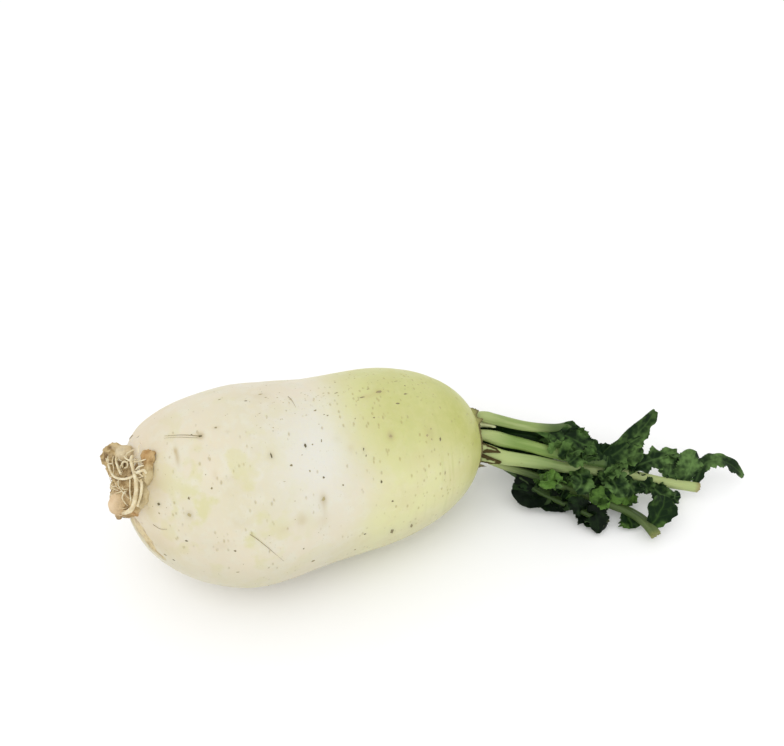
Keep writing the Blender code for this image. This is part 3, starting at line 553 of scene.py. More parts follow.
def skin_material():
    s = Shader("radish_skin_fine", roughness=0.42, subsurface=0.2)
    cloud = s.noise(22, detail=2)
    mottle = s.noise(75, detail=4)
    fine = s.noise(300, detail=4, rough=0.6)
    blotch = s.noise(130, detail=3, rough=0.6)
    cream = s.mix(s.band(cloud, 0.40, 0.62), (0.685, 0.622, 0.475), (0.655, 0.61, 0.445))
    cream = s.mix(s.band(blotch, 0.46, 0.66, 0.0, 0.8), cream, (0.68, 0.65, 0.515))
    yellow = s.times(s.band(mottle, 0.50, 0.62), s.value("mottled"))
    cream = s.mix(yellow, cream, (0.625, 0.595, 0.335))
    # A whiter patch on the upper front of the root is a painted highlight.
    cream = s.tinted(cream, blush=(0.66, 0.53, 0.37), bright=(0.70, 0.69, 0.62))
    light = s.mix(s.band(mottle, 0.38, 0.66), (0.65, 0.645, 0.335), (0.64, 0.61, 0.335))
    light = s.mix(s.band(blotch, 0.5, 0.7, 0.0, 0.5), light, (0.675, 0.65, 0.41))
    deep = s.mix(s.band(fine, 0.35, 0.7), (0.46, 0.475, 0.135), (0.50, 0.505, 0.165))
    body = s.tinted(cream, green=light, deep=deep)
    # Fine streaks of growth run round the shoulder.
    streak = s.band(s.noise(210, s.skin_place((1.7, 0.16, 1)), detail=3), 0.5, 0.72)
    body = s.mix(s.times(streak, s.value("streaks")), body, (0.44, 0.46, 0.15))
    # Sparse specks, each a short dash round the root, thicker on the shoulder.
    gap = s.cells(430, s.skin_place((1.0, 0.5, 1)))
    pick = s.band(s.times(s.noise(110, detail=2), s.value("speckle")), 0.42, 0.52)
    dash = s.times(s.band(gap, 0.10, 0.30, 1.0, 0.0), pick)
    body = s.mix(s.times(dash, 0.5), body, (0.36, 0.29, 0.11))
    pores = s.band(s.cells(620, s.skin_place((1, 0.7, 1))), 0.05, 0.24, 1.0, 0.0)
    body = s.mix(s.times(pores, s.band(blotch, 0.48, 0.62, 0.0, 0.30)), body,
                 (0.42, 0.38, 0.20))
    peel = s.mix(s.band(fine, 0.42, 0.62), (0.60, 0.47, 0.20), (0.40, 0.27, 0.11))
    # The below tint darkens the underside of the root and a patch low on the front near the tail:
    # painted shade.
    s.colour(s.tinted(body, below=(0.50, 0.47, 0.33), stain=(0.42, 0.30, 0.11),
                      scuff=(0.36, 0.33, 0.19), peel=peel))
    s.rough(s.band(mottle, 0.3, 0.7, 0.38, 0.52))
    rings = s.noise(34, s.skin_place((3.4, 0.22, 1)), detail=4)
    grain = s.plus(rings, s.times(fine, 0.5))
    s.bump(s.math("SUBTRACT", grain, s.times(dash, 0.8)), 0.6, 0.0004)
    return s.mat


def mark_material():
    s = Shader("skin_mark", roughness=0.85)
    tone = s.noise(900, detail=3)
    dark = s.mix(tone, (0.075, 0.065, 0.03), (0.15, 0.125, 0.06))
    s.colour(s.tinted(dark, pale=s.mix(tone, (0.37, 0.31, 0.15), (0.50, 0.43, 0.23))))
    s.bump(tone, 0.6, 0.0002)
    return s.mat


def hair_material():
    s = Shader("dry_hair", roughness=0.8)
    s.colour(s.mix(s.noise(300), (0.24, 0.19, 0.10), (0.38, 0.31, 0.18)))
    return s.mat


def cork_material():
    s = Shader("tail_cork_fine", roughness=0.88)
    coarse = s.noise(170, detail=5, rough=0.62)
    fine = s.noise(700, detail=5, rough=0.6)
    cloud = s.band(coarse, 0.4, 0.7)
    base = s.mix(s.band(coarse, 0.36, 0.62), (0.26, 0.16, 0.055), (0.55, 0.41, 0.20))
    base = s.mix(s.band(fine, 0.45, 0.75), base, (0.61, 0.47, 0.25))
    # The pits and the hollow are darkened: partly the cork's own colour, partly painted shade in
    # the recesses.
    base = s.tinted(base, pit=(0.13, 0.07, 0.025), rust=(0.50, 0.27, 0.09))
    base = s.mix(s.times(s.value("wall"), 0.85), base,
                 s.mix(cloud, (0.53, 0.43, 0.23), (0.65, 0.56, 0.34)))
    s.colour(s.tinted(base, cream=(0.66, 0.57, 0.39),
                      flesh=s.mix(cloud, (0.72, 0.55, 0.35), (0.63, 0.45, 0.26))))
    s.bump(s.plus(coarse, s.times(fine, 0.6)), 0.8, 0.0009)
    return s.mat


def rootlet_material():
    s = Shader("rootlet", roughness=0.6, subsurface=0.1)
    tone = s.noise(260, detail=4)
    s.colour(s.mix(s.band(tone, 0.35, 0.68), (0.60, 0.49, 0.29), (0.80, 0.72, 0.50)))
    s.bump(s.noise(900), 0.4, 0.0003)
    return s.mat


def fringe_material():
    s = Shader("dry_fringe", roughness=0.85)
    tone = s.noise(420, detail=4)
    green = s.mix(tone, (0.38, 0.40, 0.14), (0.30, 0.28, 0.09))
    s.colour(s.tinted(green, tip=s.mix(tone, (0.05, 0.036, 0.012), (0.15, 0.11, 0.04))))
    s.bump(tone, 0.6, 0.0004)
    return s.mat


def torn_material():
    s = Shader("torn_sheath_fine", roughness=0.8, specular=0.1)
    tone = s.noise(240, detail=4)
    green = s.mix(s.band(tone, 0.35, 0.65), (0.31, 0.38, 0.15), (0.42, 0.47, 0.22))
    s.colour(s.tinted(green, dry=s.mix(tone, (0.03, 0.021, 0.006), (0.09, 0.064, 0.02))))
    s.bump(tone, 0.5, 0.0004)
    return s.mat


def young_material():
    s = Shader("young_leaf_fine", roughness=0.45, subsurface=0.15)
    tone = s.noise(300, detail=3)
    s.colour(s.mix(tone, (0.50, 0.55, 0.27), (0.66, 0.69, 0.42)))
    s.bump(tone, 0.4, 0.0003)
    return s.mat


def stalk_material(name, pale, green, end):
    """Ribbed stalk skin: paler ribs, white fibres at the cut, and dark green painted shade below
    the blades.
    """
    s = Shader(name, roughness=0.45, subsurface=0.12, specular=0.25)
    along = s.noise(55, detail=3)
    streak = s.noise(30, s.skin_place((0.5, 9, 1)), detail=3)
    base = s.mix(s.band(streak, 0.34, 0.66), green, pale)
    base = s.mix(s.band(along, 0.5, 0.75, 0.0, 0.35), base, green)
    # Painted shade: the stalk is darkened to dark green where it runs under the blades.
    base = s.tinted(base, root_end=(0.40, 0.47, 0.19), shade=(0.045, 0.085, 0.018))
    scar = s.cells(120, s.skin_place((0.5, 1, 1)))
    base = s.mix(s.band(scar, 0.02, 0.07, 0.5, 0.0), base, (0.16, 0.17, 0.05))
    cut = s.mix(s.noise(900, detail=3), end, tuple(0.5 * c for c in end))
    s.colour(s.tinted(base, cut=cut))
    s.bump(s.plus(streak, s.times(s.noise(700), 0.25)), 0.45, 0.0004)
    return s.mat


def blade_material(name, dark, light):
    s = Shader(name, roughness=0.5, specular=0.09)
    cloud = s.noise(90, detail=4)
    fine = s.noise(520, detail=4)
    # The tone value holds each lobe's green with painted light and shade laid on it.
    tone = s.plus(s.value("tone"), s.band(cloud, 0.3, 0.7, -0.35, 0.40))
    base = s.mix(s.band(tone, 0.0, 1.0), dark, light)
    base = s.mix(s.band(fine, 0.45, 0.75, 0.0, 0.4), base, dark)
    under = s.mix(s.band(cloud, 0.36, 0.66), (0.040, 0.075, 0.024), (0.075, 0.125, 0.045))
    base = s.mix(s.times(s.value("under"), 0.6), base, under)
    s.colour(s.mix(s.times(s.value("vein"), 0.3), base, tuple(1.4 * c for c in light)))
    s.rough(s.band(fine, 0.3, 0.7, 0.42, 0.6))
    s.bump(s.plus(fine, s.times(cloud, 0.8)), 0.6, 0.0006)
    return s.mat


# The root's skin


SKIN_RINGS, SKIN_SIDES = 300, 260
SKIN_MAP_RADIUS = 0.05      # the skin is laid out flat as if it had this radius throughout
SHOULDER_SPECKS, TAIL_SPECKS = 110, 70
MARK_SIDES = 9

# Marks on the skin: place along from the tail in mm, turn in degrees, length round the root and
# width along it in mm, and how pale it is.
MARKS = (
    (39.3, 100, 1.5, 1.9, 0), (35.6, 98, 0.7, 1, 0.2), (69.5, 118, 2.8, 1, 0),
    (46.8, 97, 1, 1.2, 0.5), (41.1, 131, 1.1, 1.1, 0.4), (30.5, 136, 1.5, 0.9, 0.3),
    (29.8, 146, 1.7, 2.2, 0.9), (17, 141, 1.5, 1.3, 0.1), (16.6, 148, 0.9, 0.7, 0.7),
    (27.1, 164, 0.9, 1.4, 0.2), (48, 167, 1.2, 1.4, 0.3), (62.9, 182, 0.9, 1, 0.7),
    (48.6, 184, 0.8, 1.9, 0.6), (20.3, 188, 0.9, 1.2, 0.1), (16.7, 187, 1, 1.2, 0.2),
    (63, 81, 0.7, 1.9, 0.1), (51, 75, 0.7, 1.6, 0.5), (70.7, 76, 0.9, 2.2, 0.8),
    (72.7, 80, 0.6, 1.5, 0.6), (78, 125, 1.2, 1.5, 0.3), (11.1, 77, 0.5, 1.7, 0.2),
    (119.6, 92, 0.9, 3, 0.4), (128.9, 90, 1.7, 3, 0.6), (140.5, 81, 0.6, 2, 0.5),
    (144.4, 86, 0.8, 1.2, 0.4), (142.8, 94, 1, 2, 0.5), (136.7, 101, 1.1, 1.9, 0.3),
    (124.2, 86, 0.7, 1.5, 0.5), (107.6, 84, 0.6, 2.4, 0.5), (94.7, 95, 0.9, 1.7, 0.4),
    (98.5, 99, 0.5, 0.9, 0.2), (100.2, 100, 0.6, 1.5, 0.3), (113, 106, 0.8, 1, 0.6),
    (122.5, 108, 0.9, 0.9, 0.5), (128.9, 121, 1.5, 1.9, 0.8), (148.3, 125, 1.4, 1.2, 0.9),
    (151.2, 121, 1, 0.9, 0.9), (150.5, 128, 1.1, 0.9, 0.8), (155.5, 129, 2.1, 1.1, 0.2),
    (86.2, 116, 2, 1, 0), (89.7, 116, 0.8, 0.8, 0.4), (94.3, 115, 1.6, 0.6, 0.3),
    (114, 125, 1.4, 0.7, 0), (114.7, 129, 1.2, 0.5, 0.2), (92.4, 135, 1.2, 1.1, 0.1),
    (101.4, 142, 1, 0.9, 0.3), (86.3, 130, 1.1, 1, 0.6), (91.2, 147, 2.4, 1.9, 0.9),
    (120.8, 146, 1.9, 0.9, 0), (126, 160, 1.2, 1.2, 0.2), (126.7, 185, 4.3, 1.9, 0.3),
    (137.8, 187, 3.6, 1.5, 0.4), (111.7, 179, 1, 1.1, 0), (79.9, 174, 1, 1.1, 0.3),
    (85, 189, 1.6, 2, 0.5), (107.6, 194, 1.2, 1.6, 0.6), (156.2, 153, 2.6, 0.6, 0.7),
    (60, 20, 1.2, 1.5, 0.2), (90, 35, 1, 1.8, 0.4), (120, 10, 1.4, 1.2, 0.3),
    (45, 330, 1.5, 1.1, 0.2), (100, 310, 1.1, 1.4, 0.5), (150, 350, 1.4, 1, 0.4),
    (75, 300, 0.9, 1.3, 0.3), (132, 40, 1.2, 2, 0.6), (30, 25, 1.3, 1, 0.3),
)

# Shallow hollows: along, turn, half sizes along and round in mm, and depth in mm.
HOLLOWS = (
    (128.9, 121, 3.2, 4, 0.75), (136.5, 122, 2.6, 5, -0.45), (141.5, 128, 3, 4, 0.5),
    (147.5, 131, 2.6, 4.5, -0.3), (69.5, 118, 1.8, 3.2, 0.35), (39.3, 100, 2.2, 2.2, 0.35),
    (36.5, 99, 7, 1.4, 0.2), (91.5, 147, 3.5, 4, 0.3), (58, 136, 5, 5, 0.3),
    (66, 141, 5, 5, -0.25), (20, 150, 6, 9, 0.6), (27.6, 110, 1.6, 6.5, 0.25),
    (128, 20, 5, 6, 0.5), (60, 340, 5, 5, 0.4), (95, 40, 4, 5, 0.3),
)

# Dull grey-brown scuffs round the places of small wounds, as the stains below.
SCUFFS = (
    (128.9, 121, 1, 1.6, 0.5), (69.5, 118, 0.9, 1.4, 0.5), (39.3, 100, 1.2, 1.2, 0.6),
    (126.7, 185, 1.6, 3.2, 0.3), (137.8, 187, 1.4, 2.8, 0.3), (156.2, 153, 0.5, 3, 0.3),
    (29.8, 146, 1.6, 1.6, 0.3), (17, 141, 1.3, 1.3, 0.4), (62, 160, 4, 0.5, 0.12),
    (150.5, 124, 2.4, 3, 0.14), (155.5, 129, 0.7, 1.8, 0.3), (102, 116, 2, 2, 0.12),
    (114, 126, 0.8, 1.6, 0.3), (86.2, 116, 0.8, 1.4, 0.3), (91.2, 147, 0.9, 1.4, 0.3),
)

# Yellow-brown stains: along, turn, half sizes along and round in mm, and strength.
STAINS = (
    (79.8, 155, 2.6, 3.2, 0.3), (91.2, 147, 2, 3, 0.38), (91.2, 152, 1.2, 5, 0.2),
    (27.9, 110, 0.9, 4.6, 0.55), (27.3, 106, 0.6, 1.6, 0.5), (69.5, 118, 2.2, 3, 0.16),
    (39.5, 100, 1.6, 1.9, 0.65), (29.8, 146, 1.8, 2, 0.3), (42, 164, 5, 2.2, 0.12),
    (43.3, 124, 1.2, 2.2, 0.2), (47, 97, 1.6, 0.9, 0.3), (52, 101, 1.2, 0.8, 0.22),
    (49.5, 127, 2.6, 1.4, 0.14), (71.4, 158, 3, 2, 0.14), (51.5, 150, 4, 2.6, 0.12),
    (14, 175, 8, 7, 0.22), (18, 128, 5, 7, 0.2), (15.5, 122, 3.2, 9, 0.26),
    (12, 146, 3, 5, 0.26), (149.5, 125, 3, 5, 0.16), (128.9, 121, 2, 2.4, 0.4),
    (128.9, 90, 3, 2, 0.35), (122, 92, 4, 1.4, 0.25), (107.7, 123, 1.6, 1.8, 0.2),
    (90, 160, 3, 4, 0.14), (70.7, 77, 4, 3, 0.14), (48, 132, 6, 7, 0.07), (40, 112, 9, 6, 0.06),
    (60, 20, 6, 6, 0.14), (90, 320, 8, 6, 0.12), (30, 300, 7, 8, 0.16),
)

# Loose skin that peels off below the tail: along, turn and half sizes as above.
PEELS = ((5.4, 179, 2.7, 5.6, 1.2), (8.6, 183, 2.5, 5.6, 1.2), (11.0, 190, 1.8, 4.4, 1.1),
         (14.6, 195, 2.4, 3.0, 0.9))


def turn_gap(a, b):
    return (a - b + 180) % 360 - 180


def noise_at(places, scale, shift=0.0):
    """Smooth noise from -1 to 1 for each of many places."""
    return np.array([noise.noise(p) for p in (np.asarray(places) * scale + shift).tolist()])


def spot_sum(spots, along, turn, radius):
    """Adds up soft spots given as along, turn, half sizes and strength."""
    total = np.zeros_like(along)
    for at, round_at, size_along, size_round, strength in spots:
        a = (along - at) / size_along
        b = np.radians(turn_gap(turn, round_at)) * radius / size_round
        total += strength * np.exp(-a * a - b * b)
    return total


def patch(along, turn, at, reach, round_at, spread):
    """A soft patch round a place on the skin, from 0 to 1."""
    return np.exp(-((along - at) / reach)**2 - (turn_gap(turn, round_at) / spread)**2)


def smoothstep(low, high, value):
    t = np.clip((np.asarray(value, float) - low) / (high - low), 0.0, 1.0)
    return t * t * (3 - 2 * t)


def skin_radius(along):
    """The root's own radius in millimetres at places along it in millimetres."""
    u = np.clip(np.atleast_1d(along) * MM / ROOT_LENGTH, 0, 1)
    known = {v: knots_at(ROOT_FULLNESS, v) for v in np.unique(u).tolist()}
    return np.array([known[v] for v in u.tolist()]) * np.sqrt(u * (1 - u)) / MM


def skin_places(along, turn, lift=0.0):
    """Places on the fine skin, lifted off it. Lengths in mm, turns in degrees."""
    along, turn = np.atleast_1d(along).astype(float), np.atleast_1d(turn).astype(float)
    radius = skin_radius(along)
    angle = np.radians(turn)
    axis = np.array([root_axis(u) for u in (along * MM / ROOT_LENGTH).tolist()])
    way = np.stack([math.sin(ROOT_TILT) * np.sin(angle), np.cos(angle),
                    math.cos(ROOT_TILT) * np.sin(angle)], axis=1)
    base = axis + way * radius[:, None] * MM
    relief = lift - spot_sum(HOLLOWS, along, turn, radius)
    relief = relief - 1.3 * peeled(along, turn, base, radius)
    relief = relief + 0.12 * noise_at(base, 130.0) + 0.035 * noise_at(base, 520.0)
    places = base + way * (relief * MM * np.minimum(1.0, radius / 12))[:, None]
    places[:, 2] = np.maximum(places[:, 2], 0.0)
    return places


def peeled(along, turn, places, radius):
    """How much of the loose skin is at many places."""
    ragged = spot_sum(PEELS, along, turn, radius) + 0.45 * noise_at(places, 330.0, 6.0)
    return smoothstep(0.42, 0.62, ragged)


def skin_looks(along, turn, places):
    """How strong each tint of the skin is at many places on it."""
    radius = skin_radius(along)
    high = np.cos(np.radians(turn - 92))
    wander = 5.0 * noise_at(places, 38.0) + 3.0 * noise_at(places, 95.0)
    border = 100 + 9 * np.exp(-(turn_gap(turn, 142) / 30)**2) + wander
    crown = smoothstep(186.0, 187.0, along) * (0.62 + 0.45 * noise_at(places, 260.0, 2.0))
    deep = (0.68 * smoothstep(0.5, 0.98, high) * smoothstep(94, 138, along + wander)
            + 0.68 * smoothstep(148, 190, along + wander) + 0.20 * smoothstep(168, 188, along))
    return {
        "green": smoothstep(border - 9, border + 24, along),
        "deep": deep.clip(0, 1),
        # painted shade: the underside, and a patch low on the front near the tail, are darkened
        "below": (0.42 * smoothstep(0.25, -0.25, high)
                  + 0.18 * patch(along, turn, 36, 14, 168, 16)),
        "blush": np.clip(0.35 * smoothstep(45, 0, along)
                         + 0.25 * noise_at(places, 30.0, 4.0), 0, 0.6),
        # painted highlight: a whiter patch on the upper front of the root
        "bright": 0.85 * patch(along, turn, 91, 22, 121, 34),
        "mottled": 0.22 + 0.78 * patch(along, turn, 45, 30, 146, 42),
        "speckle": (0.77 + 0.42 * patch(along, turn, 122, 26, 92, 17)
                    + 0.10 * patch(along, turn, 40, 30, 150, 40)
                    + 0.16 * smoothstep(95, 125, along)),
        "streaks": 0.32 * smoothstep(120, 170, along),
        "stain": np.minimum(0.8, spot_sum(STAINS, along, turn, radius) + 0.3 * crown),
        "peel": 0.8 * peeled(along, turn, places, radius),
        "scuff": np.minimum(0.6, spot_sum(SCUFFS, along, turn, radius) + crown),
    }


def make_skin():
    share = (1 - np.cos(math.pi * np.arange(1, SKIN_RINGS) / SKIN_RINGS)) / 2
    along = np.repeat(share * ROOT_LENGTH / MM, SKIN_SIDES)
    turn = np.tile(360 * np.arange(SKIN_SIDES) / SKIN_SIDES, len(share))
    places = np.vstack([skin_places(along, turn), root_axis(0.0), root_axis(1.0)])
    along = np.append(along, [0.0, ROOT_LENGTH / MM])
    turn = np.append(turn, [90.0, 90.0])
    obj = new_piece("root_skin", places, closed_faces(len(share), SKIN_SIDES),
                    [skin_material()], "radish_skin", skin_looks(along, turn, places), None)
    map_skin(obj, along, turn)
    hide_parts("root")


def map_skin(obj, along, turn):
    """Lays the skin out flat in metres. The last strip runs on past the seam."""
    layer = obj.data.uv_layers.new(name="skin")
    for poly in obj.data.polygons:
        corners = [obj.data.loops[i].vertex_index for i in poly.loop_indices]
        across = max(turn[c] for c in corners) - min(turn[c] for c in corners) > 180
        for i, c in zip(poly.loop_indices, corners):
            angle = turn[c] + (360 if across and turn[c] < 180 else 0)
            layer.data[i].uv = (along[c] * MM, math.radians(angle) * SKIN_MAP_RADIUS)


def make_marks():
    """Small corky scabs and pits, each an irregular flake on the skin."""
    sides = MARK_SIDES
    draw = random.Random(21)
    specks = list(MARKS)
    for _ in range(SHOULDER_SPECKS):
        along = 62 + 100 * draw.random()
        turn = draw.gauss(88, 9) if draw.random() < 0.6 else draw.uniform(0, 360)
        specks.append((along, turn, draw.uniform(0.2, 0.5), draw.uniform(0.3, 1.2),
                       draw.uniform(0.7, 1.0)))
    for _ in range(TAIL_SPECKS):
        specks.append((draw.uniform(5, 95), draw.uniform(0, 360), draw.uniform(0.2, 0.6),
                       draw.uniform(0.2, 0.5), draw.uniform(0.6, 1.0)))
    corners, faces, pale = [], [], []
    for along, turn, tall, wide, light in specks:
        radius = float(skin_radius(along)[0])
        slant = draw.uniform(-0.3, 0.3)
        first = len(corners)
        corners.append((along, turn, 0.10))
        shape = [draw.uniform(0.6, 1.25) for _ in range(sides)]
        for ring, lift in ((0.6, 0.09), (1.0, 0.0), (1.0, -0.15)):
            for k in range(sides):
                angle = 2 * math.pi * k / sides
                dx = ring * shape[k] * math.cos(angle) * wide / 2
                dy = ring * shape[k] * math.sin(angle) * tall / 2
                corners.append((along + dx + slant * dy,
                                turn + math.degrees((dy - slant * dx) / radius), lift))
        for k in range(sides):
            n = (k + 1) % sides
            faces.append((first, first + 1 + k, first + 1 + n))
            for ring in (0, 1):
                a, b = first + 1 + ring * sides + k, first + 1 + ring * sides + n
                faces.append((a, a + sides, b + sides, b))
        faces.append(tuple(first + 2 * sides + 1 + k for k in range(sides - 1, -1, -1)))
        pale += [light] * (3 * sides + 1)
    alongs, turns, lifts = zip(*corners)
    new_piece("skin_marks", skin_places(alongs, turns, np.array(lifts)), faces,
              [mark_material()], "radish_skin", {"pale": pale})


# Fine dry hairs on the skin: places along in mm and turn in degrees, and the radius in mm.
HAIRS = (
    (((39, 100), (35.5, 98.4), (30.5, 96.2), (23.5, 93)), 0.16),
    (((38, 101), (33, 99), (28, 96.6), (23, 94.6)), 0.10),
    (((55.3, 157), (58.6, 160.6), (63.2, 167), (70.1, 179)), 0.16),
    (((83.6, 81), (84.8, 85), (85.8, 91)), 0.13),
    (((13.2, 159), (16, 160.5), (19.2, 159)), 0.13),
    (((8.5, 62), (6.5, 52), (7.5, 42)), 0.2),
    (((100, 330), (96, 322), (97, 312)), 0.14),
    (((60, 25), (63, 33), (62, 41)), 0.13),
)


def make_hairs():
    parts = []
    for places, radius in HAIRS:
        points = skin_places([a for a, _ in places], [t for _, t in places], radius + 0.05)
        parts.append(thinning_tube(points, 24, radius, 0.6, 6))
    new_piece("skin_hairs", *joined(parts), [hair_material()], "radish_skin")


# The tail


TAIL_VOXEL = 0.00042        # how finely the tail's lumps are fused
SHORT_THREADS = 26
# Thin strands that only the fine rootlets have: routes as the rootlets', and one radius.
STRANDS = (
    (((3.6, -1, 6), (4.2, -1.5, 7.2), (4.2, -6, 7.6), (3.6, -11, 8.2), (2.6, -14, 8)), 0.45),
    (((3.0, 3.4, -4), (3.6, 5.2, -3.4), (3.2, 6.2, -1.6), (3.0, 5.6, 1), (3.2, 3.9, 1.2),
      (3.4, 3.3, -0.6), (2.6, 3.2, -2.6)), 0.55),
    (((3.4, 3.2, 10.6), (3.2, 4.8, 12.6), (1.4, 5.6, 14.4)), 0.4),
    (((3.6, -0.3, 11.8), (3.0, -1.4, 13.2), (1.4, -3, 14.6)), 0.4),
    (((4.2, 2.2, 9.4), (3.4, 2.2, 12.4), (1.8, 0.6, 15)), 0.45),
    (((4.4, 8.4, -18), (5.6, 7, -17.2), (5.6, 4.4, -14.4), (4.6, 4.6, -11)), 0.4),
    (((3.8, 7.8, -13), (4.6, 5.4, -12), (4.4, 2.2, -10.4), (5.2, -1, -9)), 0.4),
    (((3.0, 8.6, -3), (3.6, 7.6, 0.6), (3.4, 7.2, 4.6), (2.4, 7.8, 9)), 0.45),
    (((2.8, 6.6, 6), (3.0, 6.8, 9), (1.8, 7.6, 12), (0.4, 8.4, 14)), 0.4),
    (((4.6, -2.4, -4), (5.0, -5, -3), (4.6, -7.6, 0.4), (4.4, -8.6, 3.6)), 0.35),
)


def lump_mesh(shape, detail, seed, hollow=False):
    centre, size, roughness = shape
    bm = bmesh.new()
    bmesh.ops.create_icosphere(bm, subdivisions=detail, radius=1.0)
    middle = at_tail(*centre)
    for vert in bm.verts:
        way = vert.co.copy()
        if hollow:
            power = CRUST_SQUARENESS
            flat = (abs(way.y) ** power + abs(way.z) ** power) ** (1 / power)
            way.yz = way.yz * (way.yz.length / max(flat, 1e-6))
        local = [c + w * s for c, w, s in zip(centre, way, size)]
        if hollow:
            local[2] += CRUST_LEAN * min(0.0, local[1] - centre[1])
        place = at_tail(*local)
        shift = roughness * noise.noise(place * 190.0 + Vector((seed, 0, 0)))
        shift += 0.5 * roughness * noise.noise(place * 420.0 + Vector((0, seed, 0)))
        if hollow:
            near = sum(((a - b) / c) ** 2 for a, b, c in zip(local, CAVITY_AT, CAVITY_SIZE))
            shift -= CAVITY_DEPTH * max(0.0, 1 - near)
        vert.co = place + (place - middle).normalized() * shift * MM
    verts = [v.co.copy() for v in bm.verts]
    faces = [tuple(v.index for v in f.verts) for f in bm.faces]
    bm.free()
    return verts, faces


def tail_local(places):
    """Places in the tail's own directions, in millimetres."""
    way_out = unit(TAIL_OUT)
    way_up = np.array(TAIL_RISE, float)
    way_up = unit(way_up - way_out * way_up.dot(way_out))
    away = (places - np.array(TAIL_MIDDLE)) / MM
    return away @ way_out, away @ way_up, away @ np.cross(way_up, way_out)


def make_tail():
    parts = [lump_mesh(CRUST, 5, 1.0, hollow=True), lump_mesh(STUB, 4, 9.0)]
    parts += [lump_mesh(knob, 3, 3.0 + k) for k, knob in enumerate(KNOBS)]
    obj = new_piece("tail_crust", *joined(parts), [cork_material()], "tail_cork", angle=None)
    remesh = obj.modifiers.new("remesh", "REMESH")
    remesh.mode = "VOXEL"
    remesh.voxel_size = TAIL_VOXEL
    depsgraph = bpy.context.evaluated_depsgraph_get()
    mesh = bpy.data.meshes.new_from_object(obj.evaluated_get(depsgraph))
    obj.modifiers.clear()
    obj.data = mesh
    count = len(mesh.vertices)
    places, normals = np.zeros((count, 3)), np.zeros((count, 3))
    mesh.vertices.foreach_get("co", places.ravel())
    mesh.vertices.foreach_get("normal", normals.ravel())
    out, rise, side = tail_local(places)

    def spot(rise_at, rise_size, side_at, side_size):
        return np.exp(-((rise - rise_at) / rise_size)**2 - ((side - side_at) / side_size)**2)

    stub = np.exp(-((out - 4.5) / 4.5)**2 - ((rise + 13.8) / 5.0)**2 - ((side + 5.2) / 5.6)**2)
    flesh = np.minimum(1.0, 1.7 * stub)
    wall = smoothstep(7.5, 11.5, side - 0.35 * np.minimum(0, rise + 6)) * smoothstep(3.4, 0, out)
    wall = wall * smoothstep(6, 2, rise)
    hollow = np.maximum(0.0, 1 - sum(((a - b) / c)**2 for a, b, c in
                                     zip((out, rise, side), CAVITY_AT, CAVITY_SIZE)))
    rough = 0.8 - 1.6 * abs(noise_at(places, 260)) + 0.35 - 0.7 * abs(noise_at(places, 620))
    holes = np.maximum(0.0, noise_at(places, 330, 3.0) - 0.18) * 3.2
    shift = ((rough - 0.75) - holes * (0.35 + hollow)) * (1 - flesh) * (1 - 0.7 * wall) * 0.9
    places += normals * shift[:, None] * MM
    mesh.vertices.foreach_set("co", places.ravel())
    # Darker where the cork is sunk: partly its own colour, partly painted shade in the recesses.
    pit = (0.36 * hollow + holes * (0.5 + 0.9 * hollow)) * (1 - flesh) * (1 - 0.8 * wall)
    pit += 0.7 * spot(-21.2, 1.4, -7.2, 2.6)
    edge = spot(-19, 3, 4, 6) + spot(10, 4, 11, 5)
    cream = 0.8 * spot(10.5, 3.6, -7, 6)
    add_values(obj, "pit", np.minimum(0.95, pit))
    add_values(obj, "rust", np.minimum(0.75, edge * 0.7) * (1 - flesh))
    add_values(obj, "flesh", flesh)
    add_values(obj, "wall", wall)
    add_values(obj, "cream", cream * smoothstep(-0.3, 0.3, noise_at(places, 300, 5.0) + cream))
    mesh.materials.clear()
    mesh.materials.append(bpy.data.materials["tail_cork_fine"])
    mesh.shade_smooth()
    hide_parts("tail")


def make_rootlets():
    draw = random.Random(4)
    parts = []
    for route, radius, end in ROOTLETS:
        path = smooth_path([at_tail(*p) for p in route], 40)
        radii = []
        for k, place in enumerate(path):
            plump = 1 + 0.16 * noise.noise(Vector(place) * 420.0)
            radii.append((radius + (end - radius) * k / 39) * plump * MM)
        parts.append(tube_parts(path, radii, 10))
    for route, radius in STRANDS:
        parts.append(thinning_tube([at_tail(*p) for p in route], 30, radius, 0.3, 8))
    # Short curled threads, drawn over the crust and down into its hollow.
    for _ in range(SHORT_THREADS):
        rise, side = draw.uniform(-15, 13), draw.uniform(-15, 13)
        reach = draw.uniform(3, 8)
        heading = draw.uniform(0, 2 * math.pi)
        route = []
        for k in range(5):
            t = k / 4
            heading += draw.uniform(-0.8, 0.8)
            rise += reach / 4 * math.sin(heading)
            side += reach / 4 * math.cos(heading)
            bow = 1 - ((rise + 4.5) / 19)**2 - ((side + 3) / 19)**2
            out = -3 + 7.5 * math.sqrt(max(0.02, bow)) + 0.2 + 1.6 * math.sin(math.pi * t)
            hole = ((rise - CAVITY_AT[1]) / CAVITY_SIZE[1])**2 + (
                (side - CAVITY_AT[2]) / CAVITY_SIZE[2])**2
            out -= CAVITY_DEPTH * max(0.0, 1 - hole)
            route.append(at_tail(out, rise, side))
        parts.append(thinning_tube(route, 16, draw.uniform(0.14, 0.42), 0.5, 6))
    new_piece("rootlets", *joined(parts), [rootlet_material()], "tail_cork")


# The crown


FRINGE_STATIONS, FRINGE_STEPS = 260, 6
FRINGE_SUNK = 0.0014        # how deep it stands in the skin
FRINGE_HALF_THICKNESS = 0.00022
# Each skirt's inset, height, seed and pointed scales, given as turn, reach and half width.
SKIRTS = ((0.0, 0.9, 0.0, ((82, 3.0, 16), (104, 3.4, 9))),
          (0.0013, 1.2, 7.0, ((203, 5.0, 10), (262, 3.8, 4))))

TORN_BASE_SPAN = (1, 8)     # where it lies, in sixtieths of the long leaf's stalk
TORN_BASE_RADII = (0.0060, 0.0072)     # inner and outer
TORN_BASE_STATIONS, TORN_BASE_SIDES = 30, 72
